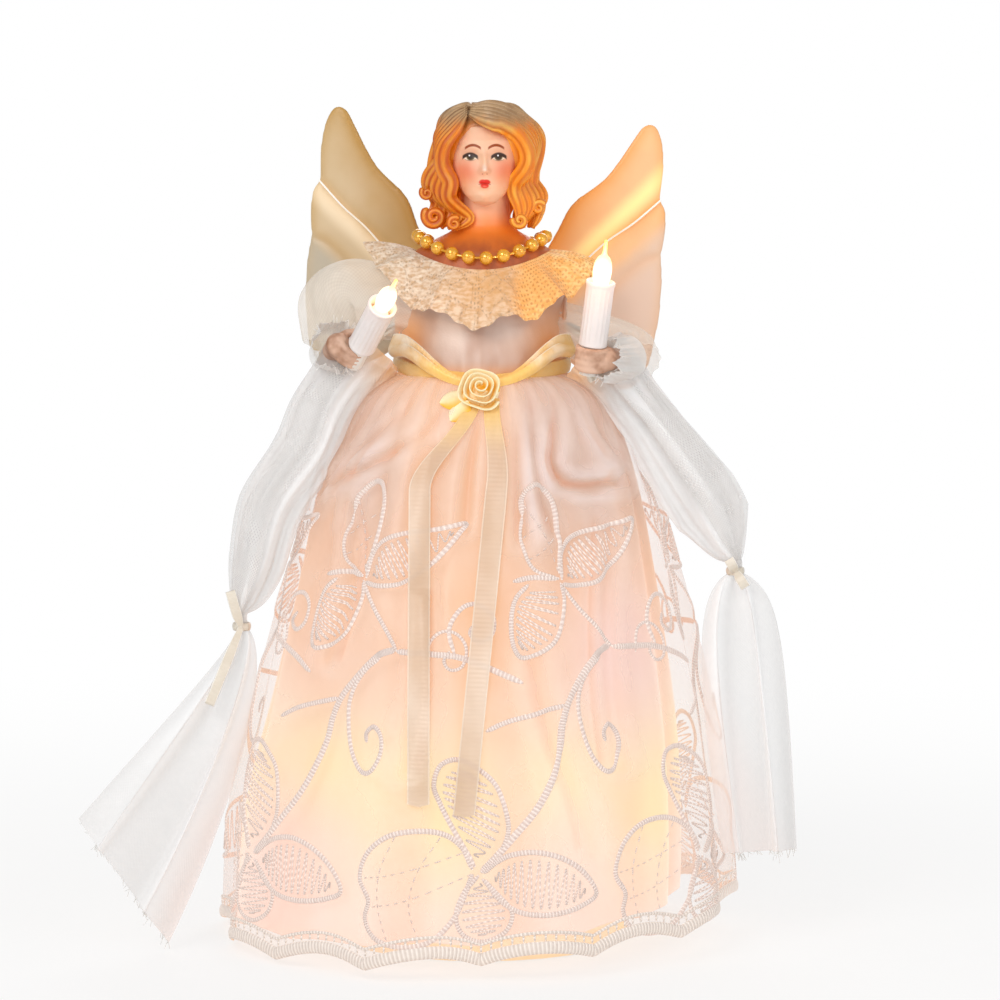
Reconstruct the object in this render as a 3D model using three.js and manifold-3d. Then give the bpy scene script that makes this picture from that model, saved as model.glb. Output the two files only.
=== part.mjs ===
// Angel tree topper: a bisque half doll in a gathered satin dress on a translucent cone,
// with padded wings, two electric candles and eight lamps behind the skirt.
// Millimetres, +Z up. The figure faces -Y. The origin is on the cone's axis at its foot.

import * as THREE from 'three';
import { mergeVertices } from 'three/addons/utils/BufferGeometryUtils.js';
import Module from 'manifold-3d';

const wasm = await Module();
wasm.setup();

// Clearances
const gap = 0.3;
const cutOverrun = 3;

// Body cone and its foot lip
const coneHeight = 176;
const coneFootRadius = 42;
const coneTopRadius = 10;
const coneWall = 1.2;
const coneLipWidth = 2.6;
const coneLipThickness = 1.6;

// Lamps: holder, base and glass, measured along the lamp's own axis
const lampBodyRadius = 3;
const lampBodyLength = 12;
const lampFlangeRadius = 4.4;
const lampFlangeThickness = 1.2;
const lampMouthStand = 1.5;
const lampBoreRadius = 1.9;
const lampPlugRadius = 1.55;
const lampPlugLength = 5.4;
const lampHuskRadius = 2.8;
const lampHuskHeight = 2;
const lampGlassRadius = 2.8;
const lampGlassLength = 9;
const lampTipLength = 4.5;
const lampTipRadius = 0.7;
const lampTipEndShare = 0.7;
const lampGlassShares = [[0.8, 0], [1, 0.35], [0.9, 0.75]];

// Where the lamps sit in the cone
const lowerLampHeight = 46;
const lowerLampCount = 5;
const lowerLampStartDegrees = -103;
const upperLampHeight = 96;
const upperLampCount = 3;
const upperLampStartDegrees = -85;

// Wires
const stringRadius = 1;
const stringFootHeight = 12;
const stringLeadInDegrees = 40;
const stringRiseShares = [0.2, 0.45, 0.7, 0.9];
const leadRadius = 0.8;
const armWireRadius = 1.1;

// Shoulder block
const blockStemLength = 14;
const blockRadius = 10;
const blockRise = 25.7;
const blockTopHeight = coneHeight + gap + blockRise;
const armRootRise = 11;
const armRootHeight = coneHeight + armRootRise;
const armRootOffset = 7.6;
const armBallRadius = 2.3;
const armRecessRadius = 3.4;

// Head, neck and shoulder plate
const plateOverlap = 9;
const plateFootHeight = blockTopHeight - plateOverlap;
const plateRise = 23.5;
const plateNeckHeight = plateFootHeight + plateRise;
const headRise = 21.1;
const headCentreHeight = plateNeckHeight + headRise;
const headOffset = 1.5;
const hairHalfWidth = 16.4;
const hairHalfDepth = 17;
const hairHalfHeight = 16.4;
const faceHalfWidth = 11.4;
const faceHalfHeight = 15;
const faceHalfDepth = 12;
const faceForward = 4.6;
const faceDrop = 2;
const neckRadius = 7.4;
const curlRadius = 4.4;
const curlReach = 13.8;
const curlTopDrop = 7.4;
const curlStep = 5.2;
const curlCount = 3;
const plateHalfWidth = 23.4;
const plateHalfDepth = 17.8;
const plateWall = 2.2;
const curlDepthShare = 1.5;
const curlHeightShare = 1.15;
const hairBackShares = [0.86, 0.6, 0.95];
const hairBackPlaceShares = [0.32, 0.7];
const neckFootShare = 0.8;
const plateShares = [[1, 0], [1, 0.3], [0.93, 0.55], [0.8, 0.72], [0.6, 0.84], [0.36, 0.95], [0, 1]];

// Bodice
const bodiceDrop = 4;
const bodiceFootHeight = coneHeight - bodiceDrop;
const bodiceTopHeight = blockTopHeight;
const bodiceWaistHalfWidth = 25;
const bodiceWaistHalfDepth = 23;
const bodiceChestHalfWidth = 25.6;
const bodiceChestHalfDepth = 20.4;
const bodiceCollarHalfWidth = 24.2;
const bodiceCollarHalfDepth = 18.6;
const armholeRadius = 8.6;
const bodiceChestShares = [0.5, 0.72];
const satinThickness = 0.8;

// Skirts; a fuller skirt widens sooner below the waist
const waistGap = 0.8;
const skirtTopHeight = bodiceFootHeight - waistGap;
const skirtFullness = 2.6;
const skirtStraightShare = 0.1;
const skirtRowPower = 1.12;
const skirtHemShare = 0.2;
const foldTopShare = 0.15;
const secondFoldShare = 0.45;
const secondFoldExtra = 4;
const underskirtWaistRadius = 24.4;
const underskirtHemHeight = 6;
const underskirtFoldDepth = 1.5;
const underskirtFolds = 11;
const overskirtWaistRadius = 26.2;
const overskirtHemRadius = 75;
const underskirtHemInset = 10;
const underskirtHemRadius = overskirtHemRadius - underskirtHemInset;
const overskirtHemHeight = 0.4;
const overskirtHemLift = 8;
const overskirtFoldDepth = 2.4;
const overskirtFolds = 9;
const overskirtThickness = 0.8;
const scallopDepth = 3.4;
const scallopCount = 14;

// Lace collar
const collarNeckHalfWidth = 20.8;
const collarNeckHalfDepth = 19.6;
const collarNeckRise = 6.4;
const collarNeckHeight = bodiceTopHeight + collarNeckRise;
const collarNeckDrop = 5.4;
const collarEdgeHalfWidth = 34.6;
const collarEdgeHalfDepth = 27.4;
const collarBackHalfDepth = 21.8;
const collarFall = 9.8;
const collarEdgeHeight = collarNeckHeight - collarFall;
const collarFrontDrop = 9.5;
const collarBackRise = 3;
const collarRuffle = 1.9;
const collarRuffles = 13;
const laceThickness = 0.7;
const collarBackRuffleShare = 0.2;

// Necklace
const beadRadius = 1.9;
const beadCount = 23;
const beadStringRadius = 0.5;
const necklaceHalfWidth = 19.3;
const necklaceHalfDepth = 18.9;
const necklaceRise = 4;
const necklaceHeight = collarNeckHeight + necklaceRise;
const necklaceDrop = 6;

// Sash, bow, rose and ribbon tails
const ribbonWidth = 6.4;
const ribbonThickness = 0.7;
const bowReachDegrees = 72;
const bowLoopLift = 2.4;
const bowLoopDepth = 3.6;
const bowKnotRadius = 3;
const bowRise = 5.6;
const bowHeight = bodiceFootHeight + bowRise;
const roseRadius = 7;
const roseDepth = 5.6;
const roseDrop = 5.4;
const roseHeight = bodiceFootHeight - roseDrop;
const roseTiltDegrees = 30;
const roseShares = [[0.5, 0], [1, 0.12], [1.02, 0.45], [0.8, 0.75], [0.4, 1]];
const rosePetals = 5;
const rosePetalShare = 0.08;
const tailStandOff = 1.7;
const tailTopHeight = roseHeight - roseRadius;
const leftTailStart = 4;
const leftTailReach = 18;
const leftTailLength = 108.6;
const rightTailStart = -5;
const rightTailReach = 5;
const rightTailLength = 112.1;

// Wings, and the bracket that holds their wires
const wingPinOffset = 9;
const wingPinBack = 23.8;
const wingPinRadius = 0.7;
const wingBarrelRadius = 1.9;
const wingBarrelLength = 9;
const wingRootClearance = 3;
const wingSpan = 46.4;
const wingRise = 61;
const wingThickness = 2.4;
const wingBevel = 1.3;
const wingSweepDegrees = 12;
const leftWingTiltDegrees = 0;
const rightWingTiltDegrees = 8;
const bracketThickness = 1.6;
const bracketRise = 12;
const bracketFootHeight = bodiceFootHeight + bracketRise;
const bracketHeight = 14;
const bracketTopHeight = bracketFootHeight + bracketHeight;
const wingBarrelRise = 2;
const wingBarrelFoot = bracketFootHeight + wingBarrelRise;

// Arms and hands
const leftHandReach = 35.3;
const rightHandReach = 32.8;
const handForward = 26;
const handDrop = 6;
const candleFootHeight = armRootHeight - handDrop;
const handRadius = 5.6;
const handHalfHeight = 4.6;
const palmOffset = 5;
const fingerThickness = 2.8;
const fingerStartDegrees = -10;
const fingerEndDegrees = 225;
const wristLength = 11;
const wristRadius = 3.2;
const armShoulderReach = 21;
const upperArmReach = 36;
const upperArmDrop = 6;
const upperArmHeight = armRootHeight - upperArmDrop;
const elbowReach = 47;
const elbowDrop = 11.6;
const elbowHeight = armRootHeight - elbowDrop;
const elbowForward = 4;
const leadOffset = 3.2;

// Candles; the lean of each is given forward and towards the middle
const leftCandleForwardDegrees = 48;
const leftCandleInwardDegrees = 28;
const rightCandleForwardDegrees = 12;
const rightCandleInwardDegrees = -7;
const candleSleeveLength = 19.6;
const candleSleeveRadius = 4.2;
const candleSleeveWall = 0.8;
const candleSocketRecess = 3.6;
const candleSocketStem = 9;

// Sleeves and cuffs
const organzaThickness = 0.7;
const sleeveShoulderReach = 31.6;
const sleeveShoulderRadius = 7;
const sleevePuff = 2.2;
const sleeveElbowRadius = 6.6;
const sleeveStartShare = 0.35;
const sleeveEndShare = 0.5;
const sleeveCreases = 5;
const sleeveCreaseShare = 0.05;
const cuffInnerRadius = 6;
const cuffOuterRadius = 12;
const cuffSetback = 2;
const cuffLength = 4.6;
const cuffRuffles = 9;
const cuffRuffleDepth = 1.3;

// Drapes, ties and streamers
const drapeTopReach = 46.5;
const drapeTopForward = 15;
const drapeTopDrop = 12.3;
const drapeTopHeight = elbowHeight - drapeTopDrop;
const drapeHalfWidth = 9.6;
const drapeFlatShare = 0.6;
const drapeTieRadius = 1.8;
const drapeFoldDepth = 0.9;
const drapeFolds = 5;
const tieThickness = 0.9;
const tieBandHeight = 3;
const tieTailWidth = 3;
const leftTieReach = 71.8;
const leftTieForward = 20;
const leftDrapeLength = 66.6;
const leftTieHeight = drapeTopHeight - leftDrapeLength;
const rightTieReach = 76;
const rightTieForward = 15;
const rightDrapeLength = 50.5;
const rightTieHeight = drapeTopHeight - rightDrapeLength;
const streamerThickness = 0.8;
const streamerFolds = 3;
const streamerFoldDepth = 1.7;
const streamerFootClearance = 2;

// Streamer corners
const leftStreamerOuterReach = 119.5;
const leftStreamerOuterForward = 38;
const leftStreamerOuterDrop = 55.5;
const leftStreamerInnerReach = 93.7;
const leftStreamerInnerForward = 30;
const rightStreamerOuterReach = 95.2;
const rightStreamerOuterForward = 14;
const rightStreamerOuterDrop = 85.1;
const rightStreamerInnerReach = 71.7;
const rightStreamerInnerForward = 33;
const rightStreamerInnerDrop = 82.6;

// Where a streamer's outer and inner edges bend: shares of the edge's drop outwards and down,
// and between them a share of its way forward
const leftStreamerBendShares = [[0.36, 0.44, 0.44], [-0.03, 0.4, 0.47]];
const rightStreamerBendShares = [[0.18, 0, 0.2], [-0.17, 0.61, 0.25]];
const streamerNeckShare = 0.7;

// Tie tails: shares of the longer tail outwards, forward and up
const leftTieTailLength = 22;
const rightTieTailLength = 9;
const leftTieTailShares = [[0.14, 0.05, 0.5], [0.41, 0.41, -1]];
const rightTieTailShares = [[-0.44, 0.33, 0.78], [0.56, 0.44, -0.89]];

// Drape: rows are the shares of its drop, of its reach and of its width
const drapeShares = [
  [0, 0, 0.78],
  [0.25, 0.23, 0.98],
  [0.5, 0.47, 1],
  [0.72, 0.72, 0.86],
  [0.86, 0.9, 0.45],
  [0.94, 1, 0],
  [1, 1, 0],
];

// Colours of the materials
const bisque = { color: 0xf0c4a4, roughness: 0.6 };
const satin = { color: 0xfbe6da, roughness: 0.4 };
const sheer = { color: 0xfdf1ea, roughness: 0.6 };
const lace = { color: 0xf6ead2, roughness: 0.75 };
const ribbonCloth = { color: 0xf8edc8, roughness: 0.4 };
const whitePlastic = { color: 0xf4f0ec, roughness: 0.35 };
const frostedPlastic = { color: 0xf2ece0, roughness: 0.5 };
const glass = { color: 0xfff2d0, roughness: 0.08 };
const beadGold = { color: 0xe8b23c, roughness: 0.25, metalness: 0.3 };
const wireSleeve = { color: 0xe8e4d8, roughness: 0.6 };
const steel = { color: 0xb8b8b8, roughness: 0.4, metalness: 0.9 };
const wood = { color: 0xd8b98a, roughness: 0.7 };

const topper = new THREE.Group();

// One named piece of one material, placed in its parent group
function piece(name, shape, finish, parent = topper) {
  const mesh = new THREE.Mesh(shape, new THREE.MeshStandardMaterial(finish));
  mesh.name = name;
  parent.add(mesh);
  return mesh;
}

function radians(degrees) {
  return THREE.MathUtils.degToRad(degrees);
}

function place(x, y, z) {
  return new THREE.Vector3(x, y, z);
}

function mix(from, to, share) {
  return from + (to - from) * share;
}

// Smooth step from 0 to 1
function ease(share) {
  const s = Math.min(1, Math.max(0, share));
  return s * s * (3 - 2 * s);
}

// Closed solids from a geometry, and back
function solid(shape) {
  shape.deleteAttribute('normal');
  shape.deleteAttribute('uv');
  const merged = mergeVertices(shape);
  return new wasm.Manifold(new wasm.Mesh({
    numProp: 3,
    vertProperties: new Float32Array(merged.attributes.position.array),
    triVerts: new Uint32Array(merged.index.array),
  }));
}

function surface(body) {
  const mesh = body.getMesh();
  const shape = new THREE.BufferGeometry();
  shape.setAttribute('position', new THREE.BufferAttribute(mesh.vertProperties, 3));
  shape.setIndex(new THREE.BufferAttribute(mesh.triVerts, 1));
  return shape;
}

function indexed(points, triangles) {
  const shape = new THREE.BufferGeometry().setFromPoints(points);
  shape.setIndex(triangles);
  return shape;
}

// A turned solid round Z: [radius, height] pairs from axis to axis, or closed on themselves
function turned(outline, sides) {
  const points = outline.map(([radius, height]) => new THREE.Vector2(radius, height));
  return new THREE.LatheGeometry(points, sides).rotateX(Math.PI / 2);
}

function ball(radius, sides = 12, rings = 8) {
  return new THREE.SphereGeometry(radius, sides, rings).rotateX(Math.PI / 2);
}

// A round bar from one place to another
function bar(from, to, radius, sides = 12) {
  const way = to.clone().sub(from);
  const turn = new THREE.Quaternion().setFromUnitVectors(place(0, 0, 1), way.clone().normalize());
  return new THREE.CylinderGeometry(radius, radius, way.length(), sides)
    .rotateX(Math.PI / 2).applyQuaternion(turn).translate(...from.clone().addScaledVector(way, 0.5));
}

// A round wire along smooth points
function wire(points, radius, sides, steps) {
  const section = new THREE.Shape(Array.from({ length: sides }, (_, i) => {
    const angle = 2 * Math.PI * i / sides;
    return new THREE.Vector2(radius * Math.cos(angle), radius * Math.sin(angle));
  }));
  const extrudePath = new THREE.CatmullRomCurve3(points, false, 'centripetal');
  return new THREE.ExtrudeGeometry(section, { steps, extrudePath, bevelEnabled: false });
}

// A closed thin sheet round a middle surface middle(u, v), with u and v from 0 to 1.
// It is thickness(u, v) thick; wraps joins u = 1 to u = 0.
function sheet(middle, thickness, columns, rows, wraps = false) {
  const across = wraps ? columns : columns + 1;
  const at = (i, j) => middle((wraps ? (i + columns) % columns : i) / columns, j / rows);
  const front = [];
  const back = [];
  for (let j = 0; j <= rows; j += 1) {
    for (let i = 0; i < across; i += 1) {
      const sideways = at(wraps ? i + 1 : Math.min(i + 1, columns), j)
        .sub(at(wraps ? i - 1 : Math.max(i - 1, 0), j));
      const along = at(i, Math.min(j + 1, rows)).sub(at(i, Math.max(j - 1, 0)));
      const half = sideways.cross(along).normalize().multiplyScalar(thickness(i / columns, j / rows) / 2);
      front.push(at(i, j).add(half));
      back.push(at(i, j).sub(half));
    }
  }
  const under = front.length;
  const index = (i, j) => j * across + i % across;
  const triangles = [];
  const quad = (a, b, c, d) => triangles.push(a, b, c, a, c, d);
  for (let i = 0; i < columns; i += 1) {
    for (let j = 0; j < rows; j += 1) {
      const corners = [index(i, j), index(i + 1, j), index(i + 1, j + 1), index(i, j + 1)];
      quad(...corners);
      quad(...corners.reverse().map((corner) => under + corner));
    }
    quad(index(i + 1, 0), index(i, 0), under + index(i, 0), under + index(i + 1, 0));
    quad(index(i, rows), index(i + 1, rows), under + index(i + 1, rows), under + index(i, rows));
  }
  for (let j = 0; j < rows && !wraps; j += 1) {
    quad(index(0, j), index(0, j + 1), under + index(0, j + 1), under + index(0, j));
    quad(index(columns, j + 1), index(columns, j), under + index(columns, j), under + index(columns, j + 1));
  }
  return indexed([...front, ...back], triangles);
}

// A closed solid with rings ring(u, v) from one capped end to the other, or closed on itself
function loft(ring, sides, steps, closes = false) {
  const points = [];
  const triangles = [];
  const rings = closes ? steps : steps + 1;
  for (let j = 0; j < rings; j += 1) {
    for (let i = 0; i < sides; i += 1) {
      points.push(ring(i / sides, j / steps));
    }
  }
  const index = (i, j) => j % rings * sides + i % sides;
  for (let i = 0; i < sides; i += 1) {
    for (let j = 0; j < steps; j += 1) {
      triangles.push(index(i, j), index(i + 1, j), index(i + 1, j + 1));
      triangles.push(index(i, j), index(i + 1, j + 1), index(i, j + 1));
    }
  }
  for (const [j, faces] of closes ? [] : [[0, -1], [steps, 1]]) {
    const centre = points.length;
    points.push(points.slice(j * sides, j * sides + sides)
      .reduce((sum, point) => sum.add(point), place(0, 0, 0)).divideScalar(sides));
    for (let i = 0; i < sides; i += 1) {
      triangles.push(centre, ...faces > 0 ? [index(i, j), index(i + 1, j)] : [index(i + 1, j), index(i, j)]);
    }
  }
  return indexed(points, triangles);
}

// A point on the round or oval ring at angle 2 pi u; u = 0.75 is the front, at -Y
function onRing(u, halfWidth, halfDepth, height) {
  const angle = 2 * Math.PI * u;
  return place(halfWidth * Math.cos(angle), halfDepth * Math.sin(angle), height);
}

// 1 at the front, -1 at the back
function frontShare(u) {
  return -Math.sin(2 * Math.PI * u);
}

// Body cone, with a hole for each lamp
function coneRadiusAt(height) {
  return mix(coneFootRadius, coneTopRadius, height / coneHeight);
}

const lampTilt = Math.atan2(coneFootRadius - coneTopRadius, coneHeight);

const lampPlaces = [];
function lampRing(count, height, startDegrees) {
  for (let i = 0; i < count; i += 1) {
    const angle = radians(startDegrees + 360 * i / count);
    lampPlaces.push({ angle, height });
  }
}
lampRing(lowerLampCount, lowerLampHeight, lowerLampStartDegrees);
lampRing(upperLampCount, upperLampHeight, upperLampStartDegrees);

// A lamp's axis runs square through the cone's wall
function lampAxis(angle) {
  const level = Math.cos(lampTilt);
  return place(level * Math.cos(angle), level * Math.sin(angle), Math.sin(lampTilt));
}

function lampGroup({ angle, height }) {
  const radius = coneRadiusAt(height);
  const group = new THREE.Group();
  group.position.set(radius * Math.cos(angle), radius * Math.sin(angle), height);
  group.quaternion.setFromUnitVectors(place(0, 0, 1), lampAxis(angle));
  group.updateMatrix();
  return group;
}

const coneBody = turned([
  [coneFootRadius - coneWall, 0],
  [coneFootRadius + coneLipWidth, 0],
  [coneFootRadius + coneLipWidth, coneLipThickness],
  [coneFootRadius, coneLipThickness],
  [coneTopRadius, coneHeight],
  [coneTopRadius - coneWall, coneHeight],
  [coneFootRadius - coneWall, 0],
], 30);
let cone = solid(coneBody);
for (const lampPlace of lampPlaces) {
  const hole = bar(place(0, 0, -cutOverrun), place(0, 0, cutOverrun), lampBodyRadius + gap, 12);
  cone = cone.subtract(solid(hole.applyMatrix4(lampGroup(lampPlace).matrix)));
}
piece('body_cone', surface(cone), frostedPlastic);

// A lamp holder: a blind bore at the mouth, a flange behind the cone's wall
function lampSocket(bodyLength, mouth, flangeTop, sides) {
  return turned([
    [0, -bodyLength],
    [lampBodyRadius, -bodyLength],
    [lampBodyRadius, flangeTop - lampFlangeThickness],
    [lampFlangeRadius, flangeTop - lampFlangeThickness],
    [lampFlangeRadius, flangeTop],
    [lampBodyRadius, flangeTop],
    [lampBodyRadius, mouth],
    [lampBoreRadius, mouth],
    [lampBoreRadius, mouth - lampPlugLength - gap],
    [0, mouth - lampPlugLength - gap],
  ], sides);
}

// A push-in lamp: plug in the bore, husk above the mouth, glass and drawn tip
function lampBulb(mouth, sides) {
  const husk = mouth + gap;
  const glassFoot = husk + lampHuskHeight;
  const shoulder = glassFoot + lampGlassLength;
  return turned([
    [0, mouth - lampPlugLength],
    [lampPlugRadius, mouth - lampPlugLength],
    [lampPlugRadius, husk],
    [lampHuskRadius, husk],
    ...lampGlassShares.map(([across, up]) => [lampGlassRadius * across, mix(glassFoot, shoulder, up)]),
    [lampTipRadius, shoulder],
    [lampTipRadius * lampTipEndShare, shoulder + lampTipLength],
    [0, shoulder + lampTipLength],
  ], sides);
}

lampPlaces.forEach((lampPlace, i) => {
  const group = lampGroup(lampPlace);
  const wallRadius = coneRadiusAt(lampPlace.height) - coneWall;
  const wallBulge = wallRadius - Math.sqrt(wallRadius ** 2 - lampFlangeRadius ** 2);
  const flangeTop = -coneWall - 2 * gap - wallBulge;
  const socket = lampSocket(lampBodyLength, lampMouthStand, flangeTop, 6);
  piece(`lamp_socket_${i + 1}`, socket, whitePlastic, group);
  piece(`lamp_bulb_${i + 1}`, lampBulb(lampMouthStand, 6), glass, group);
  topper.add(group);
});

// The bundle of wires passes close behind each holder, then rises to the shoulder block
const holderBack = lampBodyLength + 2 * gap + stringRadius;
const stringTopHeight = coneHeight - blockStemLength - gap - stringRadius;

function behindHolder(angle, height) {
  const radius = coneRadiusAt(height);
  return place(radius * Math.cos(angle), radius * Math.sin(angle), height)
    .addScaledVector(lampAxis(angle), -holderBack);
}

function stringRoute() {
  const stops = lampPlaces.map(({ angle, height }) => {
    const past = height === upperLampHeight ? angle + 2 * Math.PI : angle;
    return { angle: past, height };
  });
  const foot = { angle: stops[0].angle - radians(stringLeadInDegrees), height: stringFootHeight };
  const route = [behindHolder(foot.angle, foot.height)];
  stops.forEach((stop, i) => {
    const before = i === 0 ? foot : stops[i - 1];
    for (const share of [1 / 3, 2 / 3]) {
      const height = mix(before.height, stop.height, ease(share));
      route.push(behindHolder(mix(before.angle, stop.angle, share), height));
    }
    route.push(behindHolder(stop.angle, stop.height));
  });
  const last = stops[stops.length - 1];
  for (const share of stringRiseShares) {
    const rim = behindHolder(last.angle + 2 * share, last.height);
    rim.multiplyScalar(1 - ease(share - 0.1)).setZ(mix(last.height, stringTopHeight, ease(share)));
    route.push(rim);
  }
  route.push(place(0, 0, stringTopHeight));
  return route;
}
piece('light_string', wire(stringRoute(), stringRadius, 5, 56), wireSleeve);

// Shoulder block: a stem in the cone's top, and a recess on each side for an arm wire's ball
const blockStemRadius = coneTopRadius - coneWall - gap;
const blockBody = turned([
  [0, coneHeight - blockStemLength],
  [blockStemRadius, coneHeight - blockStemLength],
  [blockStemRadius, coneHeight + gap],
  [blockRadius, coneHeight + gap],
  [blockRadius, blockTopHeight],
  [0, blockTopHeight],
], 24);
let block = solid(blockBody);
for (const side of [-1, 1]) {
  const foot = place(side * (armRootOffset - armBallRadius - gap), 0, armRootHeight);
  const mouth = place(side * (blockRadius + cutOverrun), 0, armRootHeight);
  block = block.subtract(solid(bar(foot, mouth, armRecessRadius)));
}
piece('shoulder_block', surface(block), wood);

// Head, hair and shoulder plate in one casting, with a boss inside that sits on the block
function oval(halfWidth, halfDepth, halfHeight, centre, sides = 12, rings = 8) {
  return solid(ball(1, sides, rings).scale(halfWidth, halfDepth, halfHeight).translate(...centre));
}

function shoulderPlate(inset) {
  const width = plateHalfWidth - inset;
  const rise = plateNeckHeight - plateFootHeight - inset;
  const outline = plateShares.map(([across, up]) => [width * across, plateFootHeight + rise * up]);
  const foot = inset > 0 ? -cutOverrun : 0;
  const plate = turned([[0, plateFootHeight + foot], [width, plateFootHeight + foot], ...outline], 24);
  return solid(plate.scale(1, (plateHalfDepth - inset) / width, 1));
}

const headCentre = place(headOffset, 0, headCentreHeight);
const faceCentre = place(headOffset, -faceForward, headCentreHeight - faceDrop);
const neckFoot = place(headOffset / 2, 0, mix(plateFootHeight, plateNeckHeight, neckFootShare));
let head = oval(hairHalfWidth, hairHalfDepth, hairHalfHeight, headCentre)
  .add(oval(faceHalfWidth, faceHalfDepth, faceHalfHeight, faceCentre, 10, 7))
  .add(solid(bar(neckFoot, headCentre, neckRadius, 12)))
  .add(shoulderPlate(0));
const curlHalfDepth = curlRadius * curlDepthShare;
const curlHalfHeight = curlRadius * curlHeightShare;
for (const side of [-1, 1]) {
  for (let i = 0; i < curlCount; i += 1) {
    const height = headCentreHeight - curlTopDrop - curlStep * i;
    const centre = place(headOffset + side * curlReach, 0, height);
    head = head.add(oval(curlRadius, curlHalfDepth, curlHalfHeight, centre, 7, 5));
  }
}
const [behindShare, belowShare] = hairBackPlaceShares;
const hairBackHeight = headCentreHeight - hairHalfHeight * belowShare;
const hairBack = place(headOffset, hairHalfDepth * behindShare, hairBackHeight);
const hairHalves = [hairHalfWidth, hairHalfDepth, hairHalfHeight];
const backHalves = hairHalves.map((half, i) => half * hairBackShares[i]);
head = head.add(oval(...backHalves, hairBack, 10, 7));
const bossFoot = place(0, 0, plateFootHeight + plateWall);
const bossTop = place(0, 0, plateNeckHeight - plateWall);
const blockHollow = bar(
  place(0, 0, plateFootHeight - cutOverrun),
  place(0, 0, blockTopHeight + gap),
  blockRadius + gap,
  24,
);
head = head.subtract(shoulderPlate(plateWall))
  .add(solid(bar(bossFoot, bossTop, blockRadius + plateWall, 24)))
  .subtract(solid(blockHollow));
piece('head_and_shoulders', surface(head), bisque);

// Bodice: a satin shell from the waist to the neck, with an armhole on each side
const [chestLowShare, chestHighShare] = bodiceChestShares;
const bodiceRings = [
  [0, bodiceWaistHalfWidth, bodiceWaistHalfDepth],
  [chestLowShare, bodiceChestHalfWidth, bodiceChestHalfDepth],
  [chestHighShare, bodiceChestHalfWidth, bodiceChestHalfDepth],
  [1, bodiceCollarHalfWidth, bodiceCollarHalfDepth],
];
function alongRings(rings, v) {
  const last = rings.findIndex(([share]) => share >= v);
  const upper = rings[Math.max(last, 1)];
  const lower = rings[Math.max(last, 1) - 1];
  const share = (v - lower[0]) / (upper[0] - lower[0]);
  return upper.slice(1).map((value, i) => mix(lower[i + 1], value, share));
}
function bodiceAt(u, v) {
  const [halfWidth, halfDepth] = alongRings(bodiceRings, v);
  return onRing(u, halfWidth, halfDepth, mix(bodiceFootHeight, bodiceTopHeight, v));
}
let bodice = solid(sheet(bodiceAt, () => satinThickness, 24, 4, true));
for (const side of [-1, 1]) {
  const inside = place(side * blockRadius, 0, armRootHeight);
  const outside = place(side * (bodiceChestHalfWidth + cutOverrun), 0, armRootHeight);
  bodice = bodice.subtract(solid(bar(inside, outside, armholeRadius, 12)));
}
piece('bodice', surface(bodice), satin);

// Skirts: a bell from the waist to the hem, with folds that grow downwards
function bellRadius(waist, hem, foot, height) {
  const drop = (skirtTopHeight - height) / (skirtTopHeight - foot);
  const round = 1 - (1 - drop) ** skirtFullness;
  return mix(waist, hem, mix(round, drop, skirtStraightShare));
}

function skirtAt({ waist, hem, foot, lift, folds, foldDepth, turn, scallop }) {
  return (u, v) => {
    const angle = 2 * Math.PI * u;
    const height = mix(foot, skirtTopHeight, v ** skirtRowPower);
    const radius = bellRadius(waist, hem, foot, height);
    const second = secondFoldShare * Math.sin((folds + secondFoldExtra) * angle + 2 * turn);
    const out = radius + foldDepth * ease(1 + foldTopShare - v) * (Math.sin(folds * angle + turn) + second);
    const low = Math.max(0, 1 - v / skirtHemShare);
    const raised = lift * (1 + Math.cos(angle)) / 2 + scallop * Math.abs(Math.cos(scallopCount * angle / 2));
    return onRing(u, out, out, height + low * raised);
  };
}

const underskirtAt = skirtAt({
  waist: underskirtWaistRadius,
  hem: underskirtHemRadius,
  foot: underskirtHemHeight,
  lift: 0,
  folds: underskirtFolds,
  foldDepth: underskirtFoldDepth,
  turn: 0.8,
  scallop: 0,
});
piece('underskirt', sheet(underskirtAt, () => satinThickness, 36, 6, true), satin);

const overskirtAt = skirtAt({
  waist: overskirtWaistRadius,
  hem: overskirtHemRadius,
  foot: overskirtHemHeight,
  lift: overskirtHemLift,
  folds: overskirtFolds,
  foldDepth: overskirtFoldDepth,
  turn: 0.3,
  scallop: scallopDepth,
});
piece('overskirt', sheet(overskirtAt, () => overskirtThickness, 54, 7, true), sheer);

// Lace collar: a ruffled ring, deepest at the front and short behind
function collarAt(u, v) {
  const front = frontShare(u);
  const forward = Math.max(0, front) ** 2;
  const behind = Math.max(0, -front) ** 2;
  const edgeDepth = front > 0 ? collarEdgeHalfDepth : collarBackHalfDepth;
  const neckHeight = collarNeckHeight - collarNeckDrop * front ** 2;
  const edgeHeight = collarEdgeHeight - collarFrontDrop * forward + collarBackRise * behind;
  const depth = collarRuffle * v * mix(1, collarBackRuffleShare, behind);
  const ruffle = depth * Math.sin(2 * Math.PI * collarRuffles * u);
  const halfWidth = mix(collarNeckHalfWidth, collarEdgeHalfWidth, v) + ruffle / 2;
  const halfDepth = mix(collarNeckHalfDepth, edgeDepth, v) + ruffle / 2 * (front > 0 ? 1 : 0);
  return onRing(u, halfWidth, halfDepth, mix(neckHeight, edgeHeight, v) + ruffle);
}
piece('lace_collar', sheet(collarAt, () => laceThickness, 65, 2, true), lace);

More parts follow.
